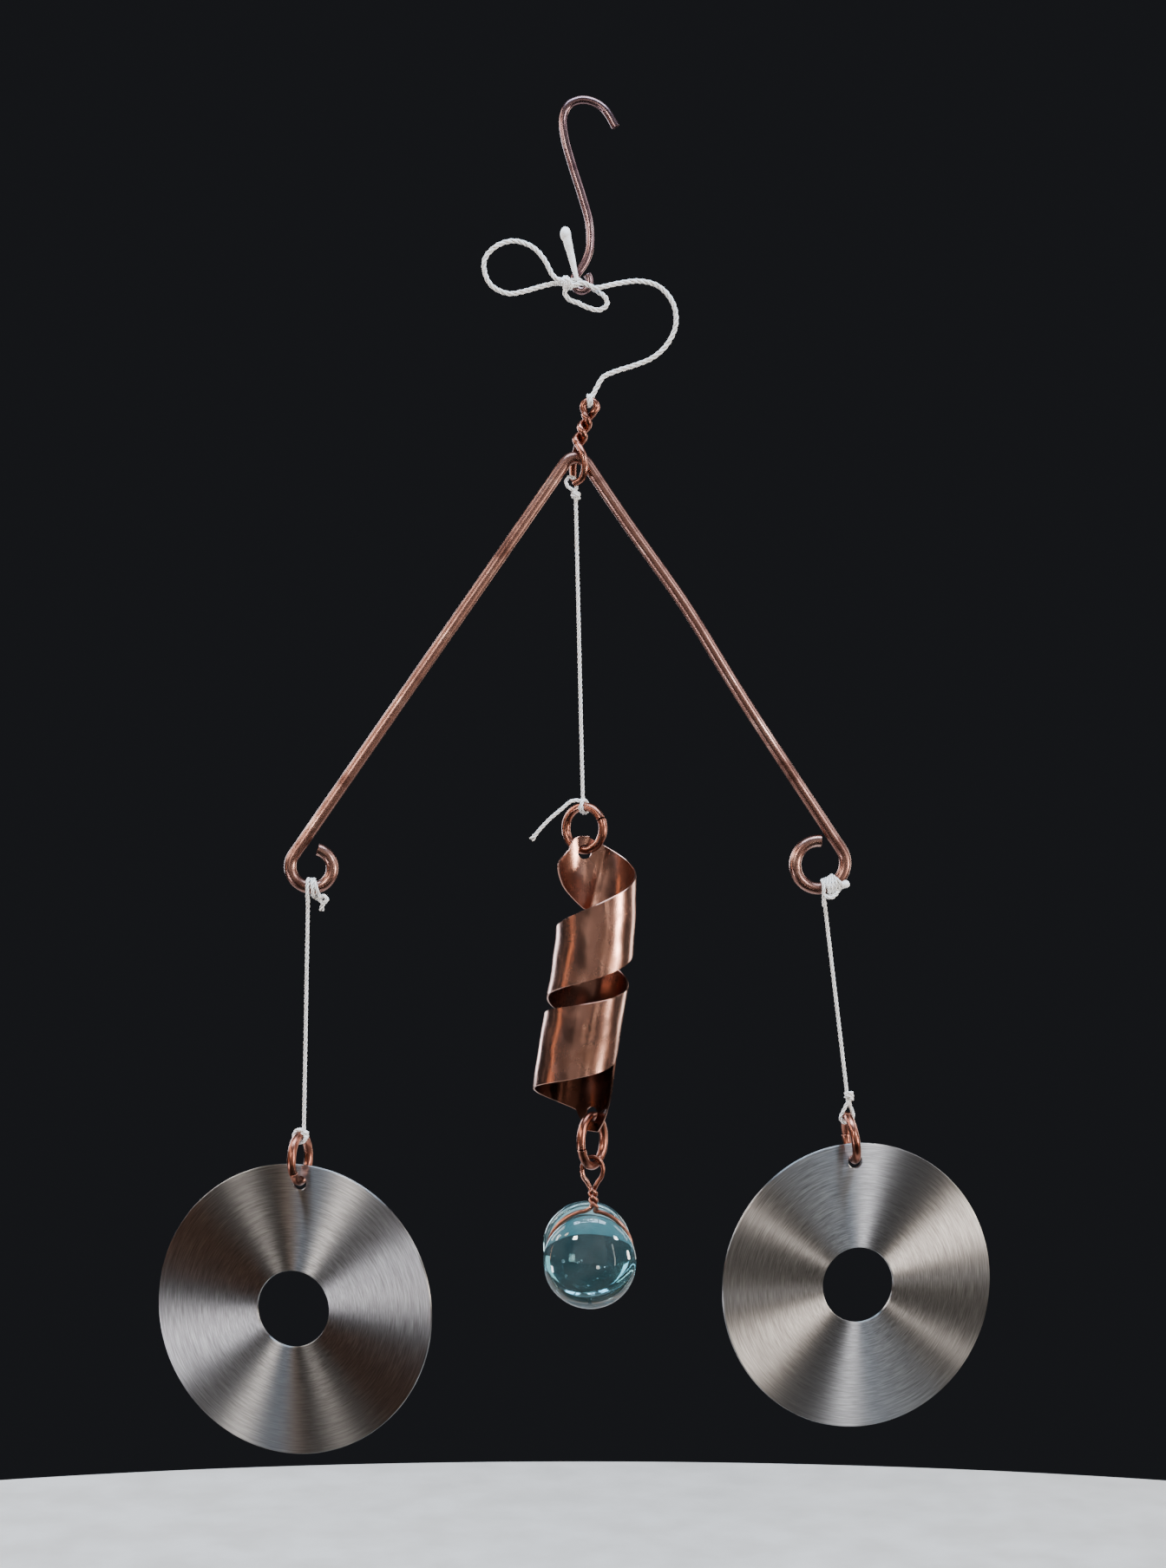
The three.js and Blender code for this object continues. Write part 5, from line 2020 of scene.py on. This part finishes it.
@dataclass(frozen=True)
class Softbox:
    """A soft lamp: where it stands, what it points at, its size, its power and its colour."""

    name: str
    place: Row
    size: Pair
    power: float
    colour: str = "#ffffff"
    target: Row = (0.0, 0.0, -0.33)
    panes: tuple[int, int] = (1, 1)
    bar: float = 0.0

    def build(self) -> None:
        """Adds the lamp, or its panes with dark bars between them, unseen by the camera."""
        across, down = self.panes
        width = (self.size[0] - (across - 1) * self.bar) / across
        height = (self.size[1] - (down - 1) * self.bar) / down
        way = Vector(self.target) - Vector(self.place)
        turn = way.to_track_quat("-Z", "Y")
        for pane in range(across * down):
            right = (pane % across - (across - 1) / 2) * (width + self.bar)
            rise = (pane // across - (down - 1) / 2) * (height + self.bar)
            lamp = bpy.data.lights.new(self.name, "AREA")
            lamp.shape = "RECTANGLE"
            lamp.size, lamp.size_y = width, height
            lamp.energy = self.power / (across * down)
            lamp.color = linear(self.colour)[:3]
            stand = add_object(self.name, lamp)
            stand.location = Vector(self.place) + turn @ Vector((right, rise, 0.0))
            stand.rotation_euler = turn.to_euler()
            stand.visible_camera = False


@dataclass(frozen=True)
class Studio:
    """The camera, a pale round floor, soft lamps and dim surroundings."""

    image_height: int = 1808
    focal_pixels: float = 2778.0
    sensor: float = 36.0
    camera_place: Row = (0.00144, -0.8, -0.22565)
    floor_height: float = -0.60
    floor_radii: Pair = (0.66, 0.3)
    # The floor lies mostly behind, so that the discs don't mirror it.
    floor_middle: float = 0.24
    floor_thickness: float = 0.02
    surroundings: str = "#1b1c1f"
    lamps: tuple[Softbox, ...] = (
        Softbox("right_side_lamp", (1.03, -0.38, -0.35), (0.2, 0.24), 9.0, "#fff3e8"),
        Softbox("left_low_lamp", (-0.94, -0.47, -0.72), (0.14, 0.18), 3.6, "#f4f4ff"),
        Softbox("upper_right_lamp", (0.71, -0.67, 0.1), (0.14, 0.14), 4.8, "#f6f8ff"),
        Softbox("upper_left_lamp", (-0.36, -0.92, 0.08), (0.12, 0.12), 3.9, "#fff6ee"),
        Softbox("left_high_lamp", (-0.66, -0.68, 0.26), (0.12, 0.12), 0.8, "#ffd9b8"),
        Softbox("far_left_lamp", (-0.88, -0.36, 0.15), (0.2, 0.2), 2.2, "#fff6ee"),
        Softbox("front_panel", (0.0, -1.3, -0.1), (1.0, 1.0), 1.1, "#fff4ec"),
        Softbox("front_right_strip", (0.58, -0.92, -0.34), (0.03, 0.5), 0.38, "#fff6ea"),
        Softbox("low_front_lamp", (0.16, -0.95, -0.6), (0.06, 0.06), 0.2, "#fff6ea"),
        Softbox("left_warm_strip", (-0.99, -0.34, -0.3), (0.04, 0.4), 0.35, "#ffb98a"),
        Softbox("skylight", (0.0, -0.2, 0.75), (1.1, 0.44), 28.0, "#c8e2ff", panes=(4, 2), bar=0.04),
        Softbox("left_edge_lamp", (-0.95, 0.17, 0.30), (0.4, 0.6), 6.0, "#fff3ea"),
        Softbox("right_edge_lamp", (0.95, 0.17, 0.30), (0.4, 0.6), 4.0, "#f2f5ff"),
        Softbox("top_lamp", (0.1, 0.05, 0.75), (0.5, 0.5), 2.0),
        Softbox("left_back_lamp", (-0.62, 0.85, -0.1), (0.3, 0.6), 5.0, "#eef3ff"),
        Softbox("right_back_lamp", (0.7, 0.8, -0.25), (0.3, 0.6), 3.0, "#fff4ea"),
    )

    def add_camera(self) -> None:
        """Adds the camera, level and square to the mobile as in the photograph."""
        lens = bpy.data.cameras.new("camera")
        lens.sensor_width = self.sensor
        lens.lens = self.sensor * self.focal_pixels / self.image_height
        camera = add_object("camera", lens)
        camera.location = self.camera_place
        camera.rotation_euler = (math.pi / 2, 0.0, 0.0)
        bpy.context.scene.camera = camera

    def add_floor(self) -> None:
        """Adds the oval floor with a softened edge."""
        sides = 160
        edge_steps = 8
        middle = 0.01
        soft = self.floor_thickness / 2
        edge = np.linspace(0.0, math.pi, edge_steps + 1)
        shares = [middle, *np.ones_like(edge), middle]
        swells = [0.0, *(soft * np.sin(edge)), 0.0]
        heights = [self.floor_thickness, *(soft + soft * np.cos(edge)), 0.0]
        wide, deep = (radius - soft for radius in self.floor_radii)
        turns = np.linspace(0.0, math.tau, sides, endpoint=False)
        base = self.floor_height - self.floor_thickness
        grid = []
        for share, out, height in zip(shares, swells, heights):
            x = (wide * share + out) * np.cos(turns)
            y = self.floor_middle + (deep * share + out) * np.sin(turns)
            grid.append(np.column_stack([x, y, np.full(sides, base + height)]))
        around = np.linspace(0.0, math.tau * wide, sides + 1)
        along = np.linspace(0.0, wide, len(grid))
        floor = MeshPlan.from_grid(np.array(grid), around, along).to_object("floor")
        floor.data.flip_normals()
        floor.data.materials.append(PaintedFloor("matt_white_paint").material())

    def add_surroundings(self) -> None:
        """Adds the dim, plain surroundings."""
        world = bpy.data.worlds.new("dim_room")
        world.use_nodes = True
        world.node_tree.nodes["Background"].inputs["Color"].default_value = linear(self.surroundings)
        bpy.context.scene.world = world

    def build(self) -> None:
        """Adds everything round the mobile."""
        self.add_camera()
        self.add_surroundings()
        self.add_floor()
        for lamp in self.lamps:
            lamp.build()


LEFT_HANGING = DiscHanging(
    side=Side.LEFT,
    ring=WireRing(
        "left_ring",
        "left_disc_ring",
        half_sizes=(0.0074, 0.0074),
        centre=(-0.0914, -0.0090, -0.3486),
        yaw=math.radians(75),
        joint_turn=math.radians(-150),
    ),
    disc=BrushedDisc("left_brushed_disc", "left_disc", yaw=math.radians(-14), hole_turn=math.radians(3.2)),
    wraps=CurlWraps(
        angles=(263.4, 283.5),
        windings=(0.75, -0.98),
        lead=(
            (-0.0888, -0.0100, -0.2652), (-0.0888, -0.0113, -0.2626), (-0.08875, -0.01165, -0.2596),
            (-0.0887, -0.0109, -0.2576), (-0.0886, -0.0090, -0.25685), (-0.0885, -0.0071, -0.2576),
            (-0.0883, -0.0064, -0.2594),
        ),
        strands=(
            (
                (-0.0847, -0.0102, -0.26275), (-0.08365, -0.01075, -0.2623), (-0.0825, -0.0105, -0.26345),
                (-0.0836, -0.0102, -0.26465), (-0.0848, -0.0099, -0.26355), (-0.0837, -0.0093, -0.2623),
                (-0.08255, -0.0090, -0.2635), (-0.08365, -0.0090, -0.2647), (-0.08415, -0.0093, -0.2659),
                (-0.08435, -0.0095, -0.2672),
            ),
            (
                (-0.0884, -0.0066, -0.2606), (-0.0872, -0.0070, -0.2626), (-0.0856, -0.0080, -0.2634),
                (-0.0843, -0.0088, -0.2636),
            ),
        ),
        fray=0.2,
    ),
    cord_top=(-0.0887, -0.0094, -0.2595),
    knot_offset=(0.0012, 0.0, 0.0008),
    knot=Winding((0.0, 0.0, 0.0012), (0.12, 0.2, 1.0), 0.0012, (0.0, 2.0)),
)
RIGHT_HANGING = DiscHanging(
    side=Side.RIGHT,
    ring=WireRing(
        "right_ring",
        "right_disc_ring",
        half_sizes=(0.0074, 0.0074),
        centre=(0.0913, 0.0088, -0.3444),
        yaw=math.radians(96),
        joint_turn=math.radians(4),
        lean=math.radians(-10),
    ),
    disc=BrushedDisc("right_brushed_disc", "right_disc", yaw=math.radians(14), hole_turn=math.radians(-1.5)),
    wraps=CurlWraps(
        angles=(-74.0, -36.0),
        windings=(-0.25, 5.0),
        lead=(
            (0.0820, 0.0070, -0.2664), (0.0819, 0.0059, -0.2636), (0.0819, 0.00545, -0.2606),
            (0.0818, 0.0062, -0.2587), (0.0817, 0.0082, -0.2579), (0.0817, 0.0101, -0.2587),
            (0.0818, 0.0109, -0.2605),
        ),
        strands=(
            ((0.0894, 0.0078, -0.2593), (0.0889, 0.0074, -0.2592)),
            (
                (0.0819, 0.0062, -0.2622), (0.0830, 0.0053, -0.2634), (0.0846, 0.0052, -0.2636),
                (0.0862, 0.0058, -0.2624), (0.0869, 0.0072, -0.2614), (0.0863, 0.0092, -0.2618),
                (0.0846, 0.0104, -0.2630), (0.0830, 0.0098, -0.2632), (0.0824, 0.0080, -0.2630),
                (0.0836, 0.0066, -0.2634), (0.0852, 0.0066, -0.2629),
            ),
        ),
        bead=Bead((0.0892, 0.0080, -0.2592), (0.0017, 0.0014, 0.0014)),
    ),
    cord_top=(0.0819, 0.0079, -0.2610),
    knot_offset=(0.0004, 0.0, 0.0042),
    knot=Winding((0.0, 0.0, 0.0011), (0.12, 0.2, 1.0), 0.0011, (0.0, 2.2)),
    knot_lift=(0.0003, 0.0, 0.0025),
    ring_loop=(
        (0.0906, 0.0082, -0.3316), (0.0892, 0.0084, -0.3344), (0.0882, 0.0086, -0.3366),
        (0.08785, 0.0087, -0.3376), (0.0885, 0.0088, -0.3390), (0.0900, 0.0089, -0.3393),
        (0.0915, 0.0090, -0.3386), (0.0921, 0.0090, -0.3372), (0.0917, 0.0091, -0.3352),
        (0.0910, 0.0091, -0.3334), (0.0909, 0.0092, -0.3316),
    ),
)


def main() -> None:
    """Loads the frame, builds every piece in order and logs each piece's faces and slot, and the counts."""
    logging.basicConfig(level=logging.INFO, format="%(name)s: %(message)s")
    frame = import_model()
    Studio().build()
    arms = ArmWire()
    spiral = CopperSpiral()
    upper_ring, lower_ring = spiral.rings()
    pieces = [
        *SuspensionCord().build(),
        *CentreCord().build(upper_ring),
        *LEFT_HANGING.build(arms),
        *RIGHT_HANGING.build(arms),
        *CeilingHook().build(),
        *TwistHanger().build(),
        *arms.build(),
        *spiral.build(),
        *GlassDrop().build(lower_ring),
    ]
    for piece in pieces:
        LOG.info("%s: %d faces, slot %s", piece.name, len(piece.data.polygons), piece["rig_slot"])
    LOG.info("%d pieces for %d solids", len(pieces), len(frame["nodes"]))


if __name__ == "__main__":
    main()
